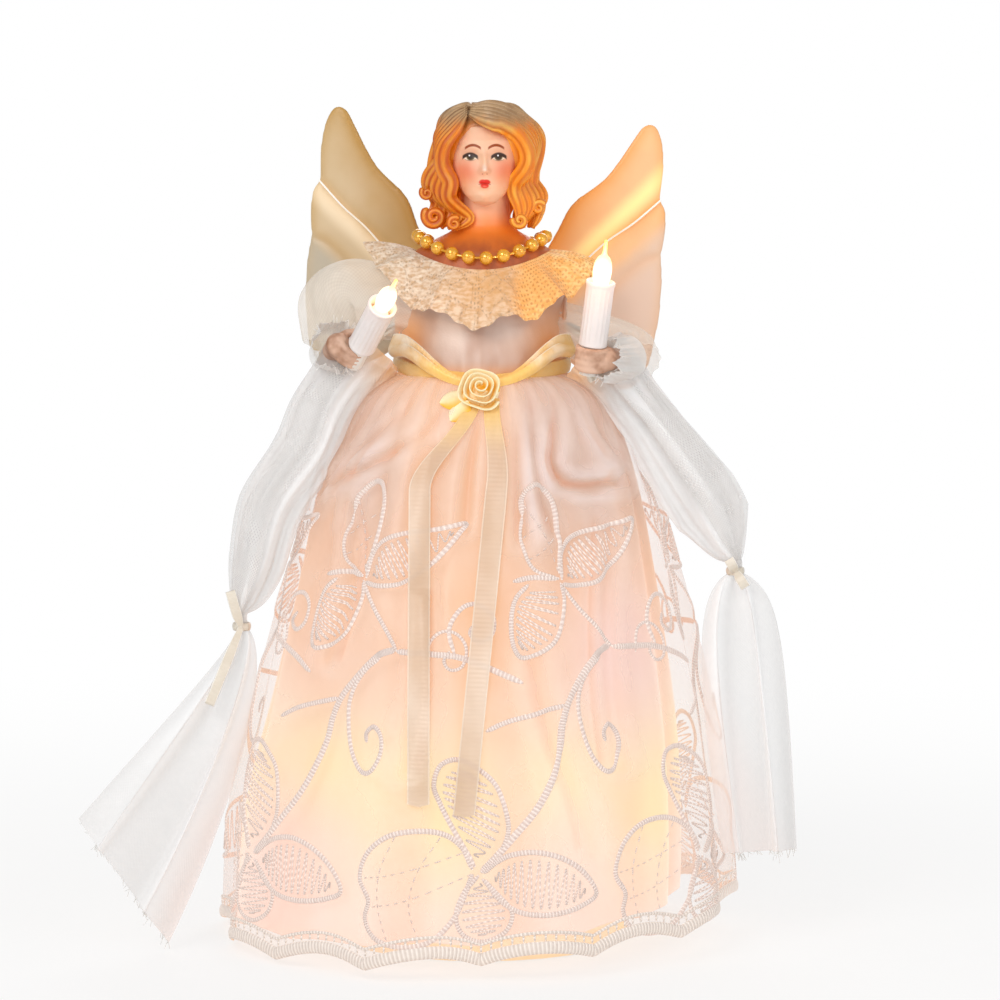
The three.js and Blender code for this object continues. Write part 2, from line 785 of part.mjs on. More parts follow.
// Necklace: beads on one string
function necklaceAt(u) {
  const front = frontShare(u);
  return onRing(u, necklaceHalfWidth, necklaceHalfDepth, necklaceHeight - necklaceDrop * front ** 2);
}
const beadRingsShares = [[0.12, 0], [0.34, 1], [0.66, 1], [0.88, 0]];
function necklaceRing(u, v) {
  const step = Math.round(v * beadCount * beadRingsShares.length);
  const bead = Math.floor(step / beadRingsShares.length);
  const [along, swell] = beadRingsShares[step % beadRingsShares.length];
  const centre = necklaceAt((bead + along) / beadCount);
  const outward = place(centre.x / necklaceHalfWidth, centre.y / necklaceHalfDepth, 0).normalize();
  const radius = mix(beadStringRadius, beadRadius, swell);
  const angle = 2 * Math.PI * u;
  return centre.addScaledVector(outward, radius * Math.cos(angle)).sub(place(0, 0, radius * Math.sin(angle)));
}
const beadRings = beadCount * beadRingsShares.length;
piece('pearl_necklace', loft(necklaceRing, 5, beadRings, true), beadGold);

// Waist sash: a ribbon round the foot of the bodice
const ribbonSeat = satinThickness / 2 + gap + ribbonThickness / 2;
const sashHalfWidth = bodiceWaistHalfWidth + ribbonSeat + gap;
const sashHalfDepth = bodiceWaistHalfDepth + ribbonSeat;
const sashAt = (u, v) => onRing(u, sashHalfWidth, sashHalfDepth, bodiceFootHeight + ribbonWidth * v);
piece('waist_sash', sheet(sashAt, () => ribbonThickness, 24, 1, true), ribbonCloth);

// Bow: a knot with a loop to each side that follows the waist and comes back under itself
const bowHalfWidth = sashHalfWidth + ribbonThickness + gap;
const bowHalfDepth = sashHalfDepth + ribbonThickness + gap;
function bowLoopAt(side) {
  return (u, v) => {
    const reach = radians(bowReachDegrees) * Math.sin(Math.PI * u) * side;
    const stand = bowLoopDepth * ease(1 - u) + gap;
    const lift = bowLoopLift * Math.cos(Math.PI * u) * Math.sin(Math.PI * u);
    return place(
      (bowHalfWidth + stand) * Math.sin(reach),
      -(bowHalfDepth + stand) * Math.cos(reach),
      bowHeight + lift + ribbonWidth * (v - 0.5) * side,
    );
  };
}
const knotCentre = place(0, -bowHalfDepth - bowLoopDepth / 2 - gap, bowHeight);
let bow = oval(bowKnotRadius, bowLoopDepth / 2 + ribbonThickness, ribbonWidth / 2, knotCentre, 10, 8);
for (const side of [-1, 1]) {
  bow = bow.add(solid(sheet(bowLoopAt(side), () => ribbonThickness, 18, 1)));
}
piece('sash_bow', surface(bow), ribbonCloth);

// Rose: a wound ribbon that sits on the skirt's slope below the knot
const roseSeat = bellRadius(overskirtWaistRadius, overskirtHemRadius, overskirtHemHeight, roseHeight);
function roseAt(u, v) {
  const [radiusShare, depthShare] = roseShares[Math.round(v * (roseShares.length - 1))];
  const petal = 1 + rosePetalShare * Math.sin(2 * Math.PI * (rosePetals * u + v / 2));
  const radius = roseRadius * radiusShare * petal;
  return onRing(u, radius, radius, roseDepth * depthShare);
}
const rose = loft(roseAt, 15, roseShares.length - 1);
rose.rotateX(Math.PI / 2 - radians(roseTiltDegrees));
rose.translate(0, -(roseSeat + gap + overskirtThickness / 2), roseHeight);
piece('ribbon_rose', rose, ribbonCloth);

// Ribbon tails: they hang over the front of the skirt, a little off it
function tailAt(start, reach, length, bend) {
  return (u, v) => {
    const height = tailTopHeight - length * v;
    const rise = (height - overskirtHemHeight) / (skirtTopHeight - overskirtHemHeight);
    const radius = bellRadius(overskirtWaistRadius, overskirtHemRadius, overskirtHemHeight, height);
    const across = -mix(start, reach, bend(v)) + ribbonWidth * (u - 0.5);
    const ring = 0.75 + Math.asin(across / radius) / (2 * Math.PI);
    const rest = overskirtAt(ring, rise ** (1 / skirtRowPower));
    const out = Math.hypot(rest.x, rest.y) + tailStandOff;
    return place(across, -Math.sqrt(out ** 2 - across ** 2), height);
  };
}
const leftTail = tailAt(leftTailStart, leftTailReach, leftTailLength, (v) => ease(5 * v));
const rightTail = tailAt(rightTailStart, rightTailReach, rightTailLength, (v) => v);
piece('left_ribbon_tail', sheet(leftTail, () => ribbonThickness, 2, 16), ribbonCloth);
piece('right_ribbon_tail', sheet(rightTail, () => ribbonThickness, 2, 16), ribbonCloth);

// Wing bracket: a plate behind the bodice with a barrel at each end
const wingPinMiddle = wingBarrelFoot + wingBarrelLength / 2;
const bracketShare = (bracketFootHeight - bodiceFootHeight) / (bodiceTopHeight - bodiceFootHeight);
const bracketFront = alongRings(bodiceRings, bracketShare)[1] + satinThickness / 2 + gap;
const plate = new THREE.BoxGeometry(2 * wingPinOffset, bracketThickness, bracketTopHeight - bracketFootHeight)
  .translate(0, bracketFront + bracketThickness / 2, (bracketTopHeight + bracketFootHeight) / 2);
let bracket = solid(plate);
for (const side of [-1, 1]) {
  const foot = place(side * wingPinOffset, wingPinBack, wingBarrelFoot);
  const top = place(side * wingPinOffset, wingPinBack, wingBarrelFoot + wingBarrelLength);
  const clearOf = (height) => bar(
    place(side * wingPinOffset, wingPinBack, height < foot.z ? height - cutOverrun : height),
    place(side * wingPinOffset, wingPinBack, height < foot.z ? foot.z : height + cutOverrun),
    wingBarrelRadius + gap,
  );
  bracket = bracket.add(solid(bar(foot, top, wingBarrelRadius)))
    .subtract(solid(clearOf(bracketFootHeight)))
    .subtract(solid(clearOf(top.z)));
  const boreFoot = foot.clone().setZ(foot.z - cutOverrun);
  const boreTop = top.clone().setZ(top.z + cutOverrun);
  bracket = bracket.subtract(solid(bar(boreFoot, boreTop, wingPinRadius + gap)));
}
piece('wing_bracket', surface(bracket), whitePlastic);

// Wings: padded plates of three feathers, each on a wire that turns in its barrel.
// Outlines are [across share, up share] of the span and the rise.
const wingEdgesShares = [
  [[0.23, 0.385], [0.32, 0.55], [0.52, 0.70], [0.72, 0.952]],
  [[0.77, 1], [0.85, 0.893], [0.905, 0.78], [0.905, 0.625]],
  [[0.963, 0.5], [0.965, 0.348]],
  [[1, 0.2], [1.01, 0], [0.99, -0.205]],
  [[0.86, -0.352], [0.54, -0.287], [0.22, -0.14]],
];
function wingPlate(tiltDegrees) {
  const outline = new THREE.Shape();
  outline.moveTo(wingRootClearance + wingBevel, wingBarrelLength / 2 + gap);
  for (const edge of wingEdgesShares) {
    outline.splineThru(edge.map(([across, up]) => new THREE.Vector2(wingSpan * across, wingRise * up)));
  }
  outline.lineTo(wingRootClearance + wingBevel, -wingBarrelLength / 2 - gap);
  const padded = new THREE.ExtrudeGeometry(outline, {
    depth: wingThickness,
    bevelThickness: wingBevel,
    bevelSize: wingBevel,
    bevelSegments: 1,
    curveSegments: 2,
  });
  return padded.translate(0, 0, -wingThickness / 2).rotateX(Math.PI / 2).rotateY(radians(tiltDegrees));
}

function wing(side, tiltDegrees) {
  const pinEnd = wingBarrelLength / 2 + gap + wingPinRadius;
  const pin = bar(place(0, 0, -pinEnd), place(0, 0, pinEnd), wingPinRadius, 8);
  let body = solid(wingPlate(tiltDegrees)).add(solid(pin));
  for (const end of [-pinEnd, pinEnd]) {
    const root = place(2 * wingRootClearance + 2 * wingBevel, 0, end);
    body = body.add(solid(bar(place(-wingPinRadius / 2, 0, end), root, wingPinRadius, 8)));
  }
  const shape = surface(body);
  shape.rotateZ(radians(wingSweepDegrees));
  if (side < 0) {
    shape.scale(-1, 1, 1);
    shape.index.array.reverse();
  }
  return shape.translate(side * wingPinOffset, wingPinBack, wingPinMiddle);
}
piece('left_wing', wing(-1, leftWingTiltDegrees), satin);
piece('right_wing', wing(1, rightWingTiltDegrees), satin);

// A tube of cloth or a hanging bundle along smooth points: ring(u, v) at a given radius.
// across is a direction that no stretch of it runs along.
function alongPoints(points, across) {
  const curve = new THREE.CatmullRomCurve3(points, false, 'centripetal');
  return (u, v, radius, flatness = 1) => {
    const way = curve.getTangent(v);
    const second = across.clone().cross(way).normalize();
    const first = second.clone().cross(way);
    const angle = 2 * Math.PI * u;
    return curve.getPoint(v)
      .addScaledVector(first, radius * Math.cos(angle) * flatness)
      .addScaledVector(second, radius * Math.sin(angle));
  };
}

// Candle: cover, lamp holder with a stem below, and lamp, along the candle's own axis
function candleParts(name, group) {
  const mouth = candleSleeveLength - candleSocketRecess;
  const bore = candleSleeveRadius - candleSleeveWall;
  const cover = turned([
    [bore, 0],
    [candleSleeveRadius, 0],
    [candleSleeveRadius, candleSleeveLength],
    [bore, candleSleeveLength],
    [bore, 0],
  ], 12);
  piece(`${name}_candle_sleeve`, cover, whitePlastic, group);
  const holder = turned([
    [0, -candleSocketStem],
    [lampBodyRadius, -candleSocketStem],
    [lampBodyRadius, mouth],
    [lampBoreRadius, mouth],
    [lampBoreRadius, mouth - lampPlugLength - gap],
    [0, mouth - lampPlugLength - gap],
  ], 10);
  piece(`${name}_candle_socket`, holder, whitePlastic, group);
  piece(`${name}_candle_bulb`, lampBulb(mouth, 10), glass, group);
}

// One side's arm: wire, hand, candle, lead, sleeve, cuff, drape, tie and streamer
function arm(name, side, sizes) {
  const lean = place(
    -side * Math.tan(radians(sizes.inwardDegrees)),
    -Math.tan(radians(sizes.forwardDegrees)),
    1,
  ).normalize();
  const foot = place(side * sizes.handReach, -handForward, candleFootHeight);
  const candle = new THREE.Group();
  candle.position.copy(foot);
  candle.quaternion.setFromUnitVectors(place(0, 0, 1), lean);
  topper.add(candle);
  candleParts(name, candle);

  // The fist grips the holder's stem; its palm lies on the outer side
  const outward = place(side, 0, 0).addScaledVector(lean, -side * lean.x).normalize();
  const forward = lean.clone().cross(outward).multiplyScalar(-side);
  const grip = foot.clone().addScaledVector(lean, -handHalfHeight - gap);
  const palm = grip.clone().addScaledVector(outward, palmOffset);
  const elbow = place(side * elbowReach, -elbowForward, elbowHeight);
  const toElbow = elbow.clone().sub(palm).normalize();
  const wristEnd = palm.clone().addScaledVector(toElbow, wristLength);
  const handFrame = new THREE.Quaternion().setFromUnitVectors(place(0, 0, 1), lean);
  const palmShape = ball(1, 8, 6).scale(handRadius, handRadius, handHalfHeight).applyQuaternion(handFrame);
  const boreRadius = lampBodyRadius + gap;
  const fingerTurn = boreRadius + fingerThickness / 2;
  const fingersAt = (u, v) => {
    const bend = radians(mix(fingerStartDegrees, fingerEndDegrees, u));
    return grip.clone()
      .addScaledVector(outward, fingerTurn * Math.cos(bend))
      .addScaledVector(forward, fingerTurn * Math.sin(bend))
      .addScaledVector(lean, handHalfHeight * (1 - 2 * v));
  };
  let hand = solid(palmShape.translate(...palm))
    .add(solid(bar(palm, wristEnd, wristRadius, 8)))
    .add(solid(sheet(fingersAt, () => fingerThickness, 9, 1)));
  const stemTop = foot.clone().addScaledVector(lean, cutOverrun);
  const stemEnd = foot.clone().addScaledVector(lean, -candleSocketStem);
  const stemFoot = stemEnd.clone().addScaledVector(lean, -cutOverrun);
  hand = hand.subtract(solid(bar(stemFoot, stemTop, boreRadius, 10)));
  const wireEnd = palm.clone().addScaledVector(toElbow, wristLength / 2);
  const wireHole = bar(
    wireEnd.clone().addScaledVector(toElbow, -gap),
    wristEnd.clone().addScaledVector(toElbow, cutOverrun),
    armWireRadius + gap,
    12,
  );
  hand = hand.subtract(solid(wireHole));
  piece(`${name}_hand`, surface(hand), bisque);

  const root = place(side * armRootOffset, 0, armRootHeight);
  const shoulder = place(side * armShoulderReach, 0, armRootHeight);
  const upperArm = place(side * upperArmReach, 0, upperArmHeight);
  const armPoints = [root, shoulder, upperArm, elbow, wristEnd, wireEnd];
  const armBall = ball(armBallRadius, 8, 6).translate(...root);
  const armWire = solid(wire(armPoints, armWireRadius, 6, 16)).add(solid(armBall));
  piece(`${name}_arm_wire`, surface(armWire), steel);

  // The lead leaves the stem, runs along the wrist, under the elbow and into the bodice
  const leadStart = stemEnd.clone().addScaledVector(lean, -gap);
  const fromWrist = leadStart.clone().sub(palm);
  const besideWrist = fromWrist.addScaledVector(toElbow, -fromWrist.dot(toElbow))
    .setLength(wristRadius + leadRadius + 2 * gap);
  const lead = wire([
    leadStart,
    leadStart.clone().addScaledVector(lean, -2 * leadRadius),
    wristEnd.clone().add(besideWrist),
    elbow.clone().add(place(0, 0, -leadOffset)),
    upperArm.clone().add(place(0, -leadOffset / 2, -leadOffset)),
    shoulder.clone().add(place(0, -leadOffset, 0)),
    place(side * (blockRadius + leadRadius + gap), -leadOffset, armRootHeight),
  ], leadRadius, 5, 22);
  piece(`${name}_candle_lead`, lead, wireSleeve);

  // Sleeve: a puffed tube of organza round the arm, open at the elbow
  const sleeveRing = alongPoints([
    place(side * sleeveShoulderReach, 0, mix(armRootHeight, upperArmHeight, sleeveStartShare)),
    upperArm,
    elbow.clone().lerp(upperArm, sleeveEndShare),
  ], place(0, 0, 1));
  const sleeveAt = (u, v) => {
    const fullness = Math.sin(Math.PI * v);
    const crease = 1 + sleeveCreaseShare * fullness * Math.sin(2 * Math.PI * sleeveCreases * u);
    const radius = mix(sleeveShoulderRadius, sleeveElbowRadius, v) + sleevePuff * fullness;
    return sleeveRing(u, v, crease * radius);
  };
  piece(`${name}_sleeve`, sheet(sleeveAt, () => organzaThickness, 15, 4, true), sheer);

  // Cuff: a ruffle that opens over the hand
  const cuffBack = wristEnd.clone().addScaledVector(toElbow, cuffSetback);
  const cuffFront = cuffBack.clone().addScaledVector(toElbow, -cuffLength);
  const cuffRing = alongPoints([cuffBack, cuffFront], place(0, 0, 1));
  const cuffAt = (u, v) => {
    const wave = cuffRuffleDepth * v * Math.sin(2 * Math.PI * cuffRuffles * u);
    return cuffRing(u, v, mix(cuffInnerRadius, cuffOuterRadius, v) + wave).addScaledVector(toElbow, wave);
  };
  piece(`${name}_cuff`, sheet(cuffAt, () => organzaThickness, 36, 1, true), sheer);

  // Drape: gathered organza that hangs from the sleeve to its tie
  const tie = place(side * sizes.tieReach, -sizes.tieForward, sizes.tieHeight);
  const drapeLine = drapeShares.map(([drop, reach]) => place(
    side * mix(drapeTopReach, sizes.tieReach, reach),
    -mix(drapeTopForward, sizes.tieForward, Math.min(1, 2 * drop)),
    mix(drapeTopHeight, sizes.tieHeight + gap / 2, drop),
  ));
  const drapeRing = alongPoints(drapeLine, place(0, 1, 0));
  const drapeWidths = drapeShares.map((row, i) => [i / (drapeShares.length - 1), row[2]]);
  const drapeAt = (u, v) => {
    const [width] = alongRings(drapeWidths, v);
    const fold = drapeFoldDepth * width * Math.cos(2 * Math.PI * drapeFolds * u);
    return drapeRing(u, v, mix(drapeTieRadius, drapeHalfWidth, width) + fold, mix(1, drapeFlatShare, width));
  };
  piece(`${name}_drape`, loft(drapeAt, 15, 9), sheer);

  // Streamer: the flared end below the tie, with folds along it
  const from = tie.clone().setZ(sizes.tieHeight - gap / 2);
  const edges = sizes.streamerCorners.map(([reach, forwards, height], i) => {
    const start = from.clone().add(place((1 - 2 * i) * side * drapeTieRadius * streamerNeckShare, 0, 0));
    const below = start.clone().add(place(0, 0, -2 * tieBandHeight));
    const corner = place(side * reach, -forwards, height);
    const drop = sizes.tieHeight - height;
    const [outShare, forwardShare, downShare] = sizes.streamerBendShares[i];
    const bend = place(
      side * (sizes.tieReach + drop * outShare),
      -mix(sizes.tieForward, forwards, forwardShare),
      sizes.tieHeight - drop * downShare,
    );
    return new THREE.CubicBezierCurve3(start, below, bend, corner);
  });
  const streamerAt = (u, v) => {
    const point = edges[0].getPoint(v).lerp(edges[1].getPoint(v), side < 0 ? u : 1 - u);
    const fold = streamerFoldDepth * ease(2 * v) * Math.sin(2 * Math.PI * streamerFolds * u);
    return point.add(place(0, fold, 0));
  };
  piece(`${name}_streamer`, sheet(streamerAt, () => streamerThickness, 12, 5), sheer);

  // Tie: a ribbon band round the neck between drape and streamer, with two tails
  const bandInner = drapeTieRadius + gap + streamerThickness / 2;
  const bandMiddle = bandInner + tieThickness / 2;
  const bandRing = (u, v) => onRing(u, bandMiddle, bandMiddle, tieBandHeight * (v - 0.5));
  let band = solid(sheet(bandRing, () => tieThickness, 10, 1, true).translate(...tie));
  const knot = tie.clone().add(place(0, -bandInner - tieThickness, 0));
  for (const [outShare, forwardShare, upShare] of sizes.tieTailShares) {
    const way = place(side * outShare, -forwardShare, upShare);
    const end = knot.clone().addScaledVector(way, sizes.tieTailLength);
    const across = end.clone().sub(knot).cross(place(0, 1, 0)).setLength(tieTailWidth / 2);
    const tailAlong = (u, v) => knot.clone().lerp(end, v).addScaledVector(across, 2 * u - 1);
    band = band.add(solid(sheet(tailAlong, () => tieThickness, 1, 1)));
  }
  piece(`${name}_tie`, surface(band), ribbonCloth);
}

arm('left', -1, {
  handReach: leftHandReach,
  forwardDegrees: leftCandleForwardDegrees,
  inwardDegrees: leftCandleInwardDegrees,
  tieReach: leftTieReach,
  tieForward: leftTieForward,
  tieHeight: leftTieHeight,
  streamerCorners: [
    [leftStreamerOuterReach, leftStreamerOuterForward, leftTieHeight - leftStreamerOuterDrop],
    [leftStreamerInnerReach, leftStreamerInnerForward, streamerFootClearance],
  ],
  streamerBendShares: leftStreamerBendShares,
  tieTailLength: leftTieTailLength,
  tieTailShares: leftTieTailShares,
});
arm('right', 1, {
  handReach: rightHandReach,
  forwardDegrees: rightCandleForwardDegrees,
  inwardDegrees: rightCandleInwardDegrees,
  tieReach: rightTieReach,
  tieForward: rightTieForward,
  tieHeight: rightTieHeight,
  streamerCorners: [
    [rightStreamerOuterReach, rightStreamerOuterForward, rightTieHeight - rightStreamerOuterDrop],
    [rightStreamerInnerReach, rightStreamerInnerForward, rightTieHeight - rightStreamerInnerDrop],
  ],
  streamerBendShares: rightStreamerBendShares,
  tieTailLength: rightTieTailLength,
  tieTailShares: rightTieTailShares,
});

topper.updateMatrixWorld(true);

export default topper;
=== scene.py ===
"""Angel tree topper: the dress, hair, wings and light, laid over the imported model."""

import math
from contextlib import contextmanager
from functools import partialmethod

import bmesh
import bpy
import numpy as np
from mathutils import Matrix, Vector


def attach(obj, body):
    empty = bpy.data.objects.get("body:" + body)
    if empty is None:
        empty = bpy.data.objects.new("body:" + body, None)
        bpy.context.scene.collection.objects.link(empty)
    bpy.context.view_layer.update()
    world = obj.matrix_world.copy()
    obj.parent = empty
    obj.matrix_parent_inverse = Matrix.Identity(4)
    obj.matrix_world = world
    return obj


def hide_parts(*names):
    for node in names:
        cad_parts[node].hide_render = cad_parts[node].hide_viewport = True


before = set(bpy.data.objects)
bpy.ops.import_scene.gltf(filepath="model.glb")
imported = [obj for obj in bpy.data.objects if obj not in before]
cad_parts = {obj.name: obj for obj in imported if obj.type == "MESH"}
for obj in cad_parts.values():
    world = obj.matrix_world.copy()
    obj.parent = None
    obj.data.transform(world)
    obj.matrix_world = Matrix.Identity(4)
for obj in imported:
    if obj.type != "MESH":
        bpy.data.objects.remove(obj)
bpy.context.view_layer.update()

# ---------------------------------------------------------------- camera
# The photograph looks at the figure from straight in front and a little above.
mm = 0.001


def placed(name, data):
    """A new object in the scene."""
    thing = bpy.data.objects.new(name, data)
    bpy.context.scene.collection.objects.link(thing)
    return thing


camera = placed("camera", bpy.data.cameras.new("camera"))
camera.data.sensor_width = 36
camera.data.lens = 146.44
camera.data.clip_end = 20
camera.location = Vector((5.443, -1226.726, 250.603)) * mm
camera.rotation_euler = (math.radians(84.5), 0, 0)
bpy.context.scene.camera = camera
bpy.context.scene.view_settings.view_transform = "Standard"

# ---------------------------------------------------------------- floor and light
# A matt white sheet under the figure, and two soft lamps in a white room.


class Reading:
    """A value read at each point of a surface; arithmetic on it adds Math nodes."""

    def __init__(self, finish, socket):
        self.finish = finish
        self.socket = socket

    def math(self, operation, *others):
        values = dict(enumerate((self, *others)))
        return self.finish.node("Math", values, operation=operation)

    __add__ = __radd__ = partialmethod(math, "ADD")
    __sub__ = partialmethod(math, "SUBTRACT")
    __mul__ = __rmul__ = partialmethod(math, "MULTIPLY")
    __truediv__ = partialmethod(math, "DIVIDE")
    __pow__ = partialmethod(math, "POWER")
    __abs__ = partialmethod(math, "ABSOLUTE")
    sine = partialmethod(math, "SINE")
    at_least = partialmethod(math, "MAXIMUM")
    at_most = partialmethod(math, "MINIMUM")

    def __rsub__(self, other):
        return self * -1 + other

    def __rpow__(self, base):
        return self.finish.node("Math", {0: base, 1: self}, operation="POWER")

    def wave(self):
        """A ripple from 0 to 1."""
        return self.sine() * 0.5 + 0.5

    def clear_of(self, low, high):
        """0 below low, 1 above high, and a smooth step between them."""
        values = {"Value": self, "From Min": low, "From Max": high}
        return self.finish.node("MapRange", values, interpolation_type="SMOOTHSTEP")


def colour(code):
    """A linear colour from the usual six-digit code."""
    parts = [int(code[i : i + 2], 16) / 255 for i in (0, 2, 4)]
    return [p / 12.92 if p <= 0.04045 else ((p + 0.055) / 1.055) ** 2.4 for p in parts] + [1]


class Finish:
    """One material. A value that varies over the surface is linked, any other is set, and a
    colour is its code. x, y and z read the place in metres, u and v the piece's map."""

    def __init__(self, name, base, roughness, **values):
        self.material = bpy.data.materials.new(name)
        self.material.use_nodes = True
        self.tree = self.material.node_tree
        self.shader = self.tree.nodes["Principled BSDF"]
        where = self.tree.nodes.new("ShaderNodeTexCoord")
        self.place = Reading(self, where.outputs["Object"])
        self.flat = Reading(self, where.outputs["UV"])
        self.x, self.y, self.z = self.axes(self.place)
        self.u, self.v, _ = self.axes(self.flat)
        self.set(base_color=base, roughness=roughness, **values)

    def set(self, **values):
        for name, value in values.items():
            self.feed(self.shader.inputs[name.replace("_", " ").title()], value)
        return self

    def feed(self, socket, value):
        if isinstance(value, Reading):
            self.tree.links.new(value.socket, socket)
        else:
            socket.default_value = colour(value) if isinstance(value, str) else value

    def node(self, kind, inputs, output=0, **settings):
        """Any node: its kind, its inputs by name or number, the output to read, its settings."""
        node = self.tree.nodes.new("ShaderNode" + kind)
        for name, value in settings.items():
            setattr(node, name, value)
        for name, value in inputs.items():
            self.feed(node.inputs[name], value)
        return Reading(self, node.outputs[output])

    def blend(self, share, first, second):
        """The first colour where share is 0, the second where it is 1."""
        return self.node("Mix", {0: share, 6: first, 7: second}, 2, data_type="RGBA")

    def axes(self, reading):
        split = self.tree.nodes.new("ShaderNodeSeparateXYZ")
        self.feed(split.inputs[0], reading)
        return [Reading(self, output) for output in split.outputs]

    def mark(self, name):
        """A value stored on the piece's places."""
        return self.node("Attribute", {}, "Fac", attribute_name=name)

    def noise(self, scale, detail=2.0, stretch=(1, 1, 1)):
        """Cloudy grain from 0 to 1; a stretch above 1 packs it closer along that axis."""
        packed = self.node("Mapping", {"Vector": self.place, "Scale": stretch})
        return self.node("TexNoise", {"Vector": packed, "Scale": scale, "Detail": detail})

    def near(self, centre, reach):
        """1 at the centre, given in millimetres, falling off smoothly over the reach."""
        values = {0: self.place, 1: [mm * value for value in centre]}
        away = self.node("VectorMath", values, "Value", operation="DISTANCE") / (mm * reach)
        return 2.718 ** (away * away * -1)

    def near_any(self, centres, reach):
        spots = [self.near(centre, reach) for centre in centres]
        return sum(spots[1:], spots[0])

    def raised(self, height, distance, strength=1.0):
        """Bump of the given height over the surface, its full depth in millimetres."""
        values = {"Height": height, "Distance": distance * mm, "Strength": strength}
        return self.set(normal=self.node("Bump", values))


def grid(columns, rows, closed=False):
    """Shares across and along from 0 to 1, as two arrays of rows by columns."""
    across = np.linspace(0, 1, columns, endpoint=not closed)
    return np.meshgrid(across, np.linspace(0, 1, rows))


def spot(x, y, z):
    """Places from three arrays or numbers of one shape."""
    return np.stack(np.broadcast_arrays(x, y, z), axis=-1).astype(float)


@contextmanager
def reworked(mesh):
    """A mesh opened for editing, and written back at the end."""
    work = bmesh.new()
    work.from_mesh(mesh)
    yield work
    work.to_mesh(mesh)
    work.free()


def settle(piece):
    """Works a piece's modifiers into its mesh."""
    state = bpy.context.evaluated_depsgraph_get()
    piece.data = bpy.data.meshes.new_from_object(piece.evaluated_get(state))
    piece.modifiers.clear()
    piece.data.shade_smooth()


def places_of(mesh):
    held = np.empty(len(mesh.vertices) * 3)
    mesh.vertices.foreach_get("co", held)
    return held.reshape(-1, 3)


def cornered(rows):
    """The four corners of each cell of a grid, in order round it."""
    near, far = slice(None, -1), slice(1, None)
    return [rows[corner] for corner in ((near, near), (near, far), (far, far), (far, near))]


def surface(name, points, closed=False, looped=False, size=(1, 1), marks=None, weld=False):
    """Quads through a grid of places in millimetres, rows by columns. closed joins the last
    column to the first, looped the last row to the first. The UV map runs over size."""
    rows, columns = points.shape[:2]
    index = np.arange(rows * columns).reshape(rows, columns)
    across, along = np.meshgrid(np.arange(columns + closed), np.arange(rows + looped))
    index = index[along % rows, across % columns]
    uv = np.stack([across / (columns - 1 + closed), along / (rows - 1 + looped)], -1) * size
    faces = np.stack(cornered(index), -1).reshape(-1, 4)
    mapped = np.stack(cornered(uv), -2).reshape(-1, 2)
    return solid(name, points.reshape(-1, 3), faces, mapped, marks, weld)


def solid(name, points, faces, mapped, marks=None, weld=False):
    """A smooth mesh piece of places in millimetres and faces, with a mark on each place."""
    mesh = bpy.data.meshes.new(name)
    mesh.from_pydata((points * mm).tolist(), [], np.asarray(faces).tolist())
    layer = mesh.uv_layers.new(name="UVMap")
    layer.data.foreach_set("uv", mapped.astype(np.float32).ravel())
    for mark, values in (marks or {}).items():
        held = mesh.attributes.new(mark, "FLOAT", "POINT")
        held.data.foreach_set("value", np.asarray(values, np.float32).ravel())
    if weld:
        with reworked(mesh) as work:
            bmesh.ops.remove_doubles(work, verts=work.verts, dist=1e-6)
    mesh.shade_smooth()
    return placed(name, mesh)


def dress(piece, finish, body=None, stands_for=(), wall=0):
    """Gives a piece its finish, the body it moves with and the nodes it stands for."""
    piece.data.materials.append(finish.material)
    if wall:
        thick = piece.modifiers.new("wall", "SOLIDIFY")
        thick.thickness = wall * mm
        thick.offset = 0
    if body:
        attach(piece, body)
    if stands_for:
        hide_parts(*stands_for)
    return piece


def seen_white(finish, shader, share):
    """The camera, mirrors and glass see this much plain white in place of the shader."""
    path = finish.tree.nodes.new("ShaderNodeLightPath")
    rays = [Reading(finish, path.outputs[name]) for name in
            ("Is Camera Ray", "Is Glossy Ray", "Is Transmission Ray")]
    seen = (rays[0] + rays[1] + rays[2]).at_most(1.0) * share
    white = finish.node("Emission", {"Color": (1, 1, 1, 1), "Strength": 1.0})
    mixed = finish.node("MixShader", {0: seen, 1: shader, 2: white})
    finish.tree.links.new(mixed.socket, finish.tree.nodes["Material Output"].inputs[0])


floor_width, floor_height = 6000, -0.4
across, along = grid(33, 33)
floor = surface("floor", spot(floor_width * (across - 0.5), floor_width * (along - 0.5),
                              floor_height))
sheet_white = Finish("floor_white", "F2F1EF", 0.9)
sheet_white.set(base_color=sheet_white.blend(sheet_white.noise(40), "F1F0EE", "F4F3F2"))
far = sheet_white.node("VectorMath", {0: sheet_white.place}, "Value", operation="LENGTH")
seen_white(sheet_white, Reading(sheet_white, sheet_white.shader.outputs[0]),
           far.clear_of(0.06, 0.62) * 0.3 + 0.7)
dress(floor, sheet_white)

world = bpy.data.worlds.new("room")
bpy.context.scene.world = world
world.use_nodes = True
room = world.node_tree
path, seen, strength = [room.nodes.new("ShaderNode" + kind)
                        for kind in ("LightPath", "Math", "MapRange")]
seen.operation = "MAXIMUM"
strength.inputs["To Min"].default_value = 0.46
background = room.nodes["Background"]
background.inputs["Color"].default_value = (1, 1, 1, 1)
for source, target in (
    (path.outputs["Is Camera Ray"], seen.inputs[0]),
    (path.outputs["Is Transmission Ray"], seen.inputs[1]),
    (seen.outputs[0], strength.inputs["Value"]),
    (strength.outputs[0], background.inputs["Strength"]),
):
    room.links.new(source, target)

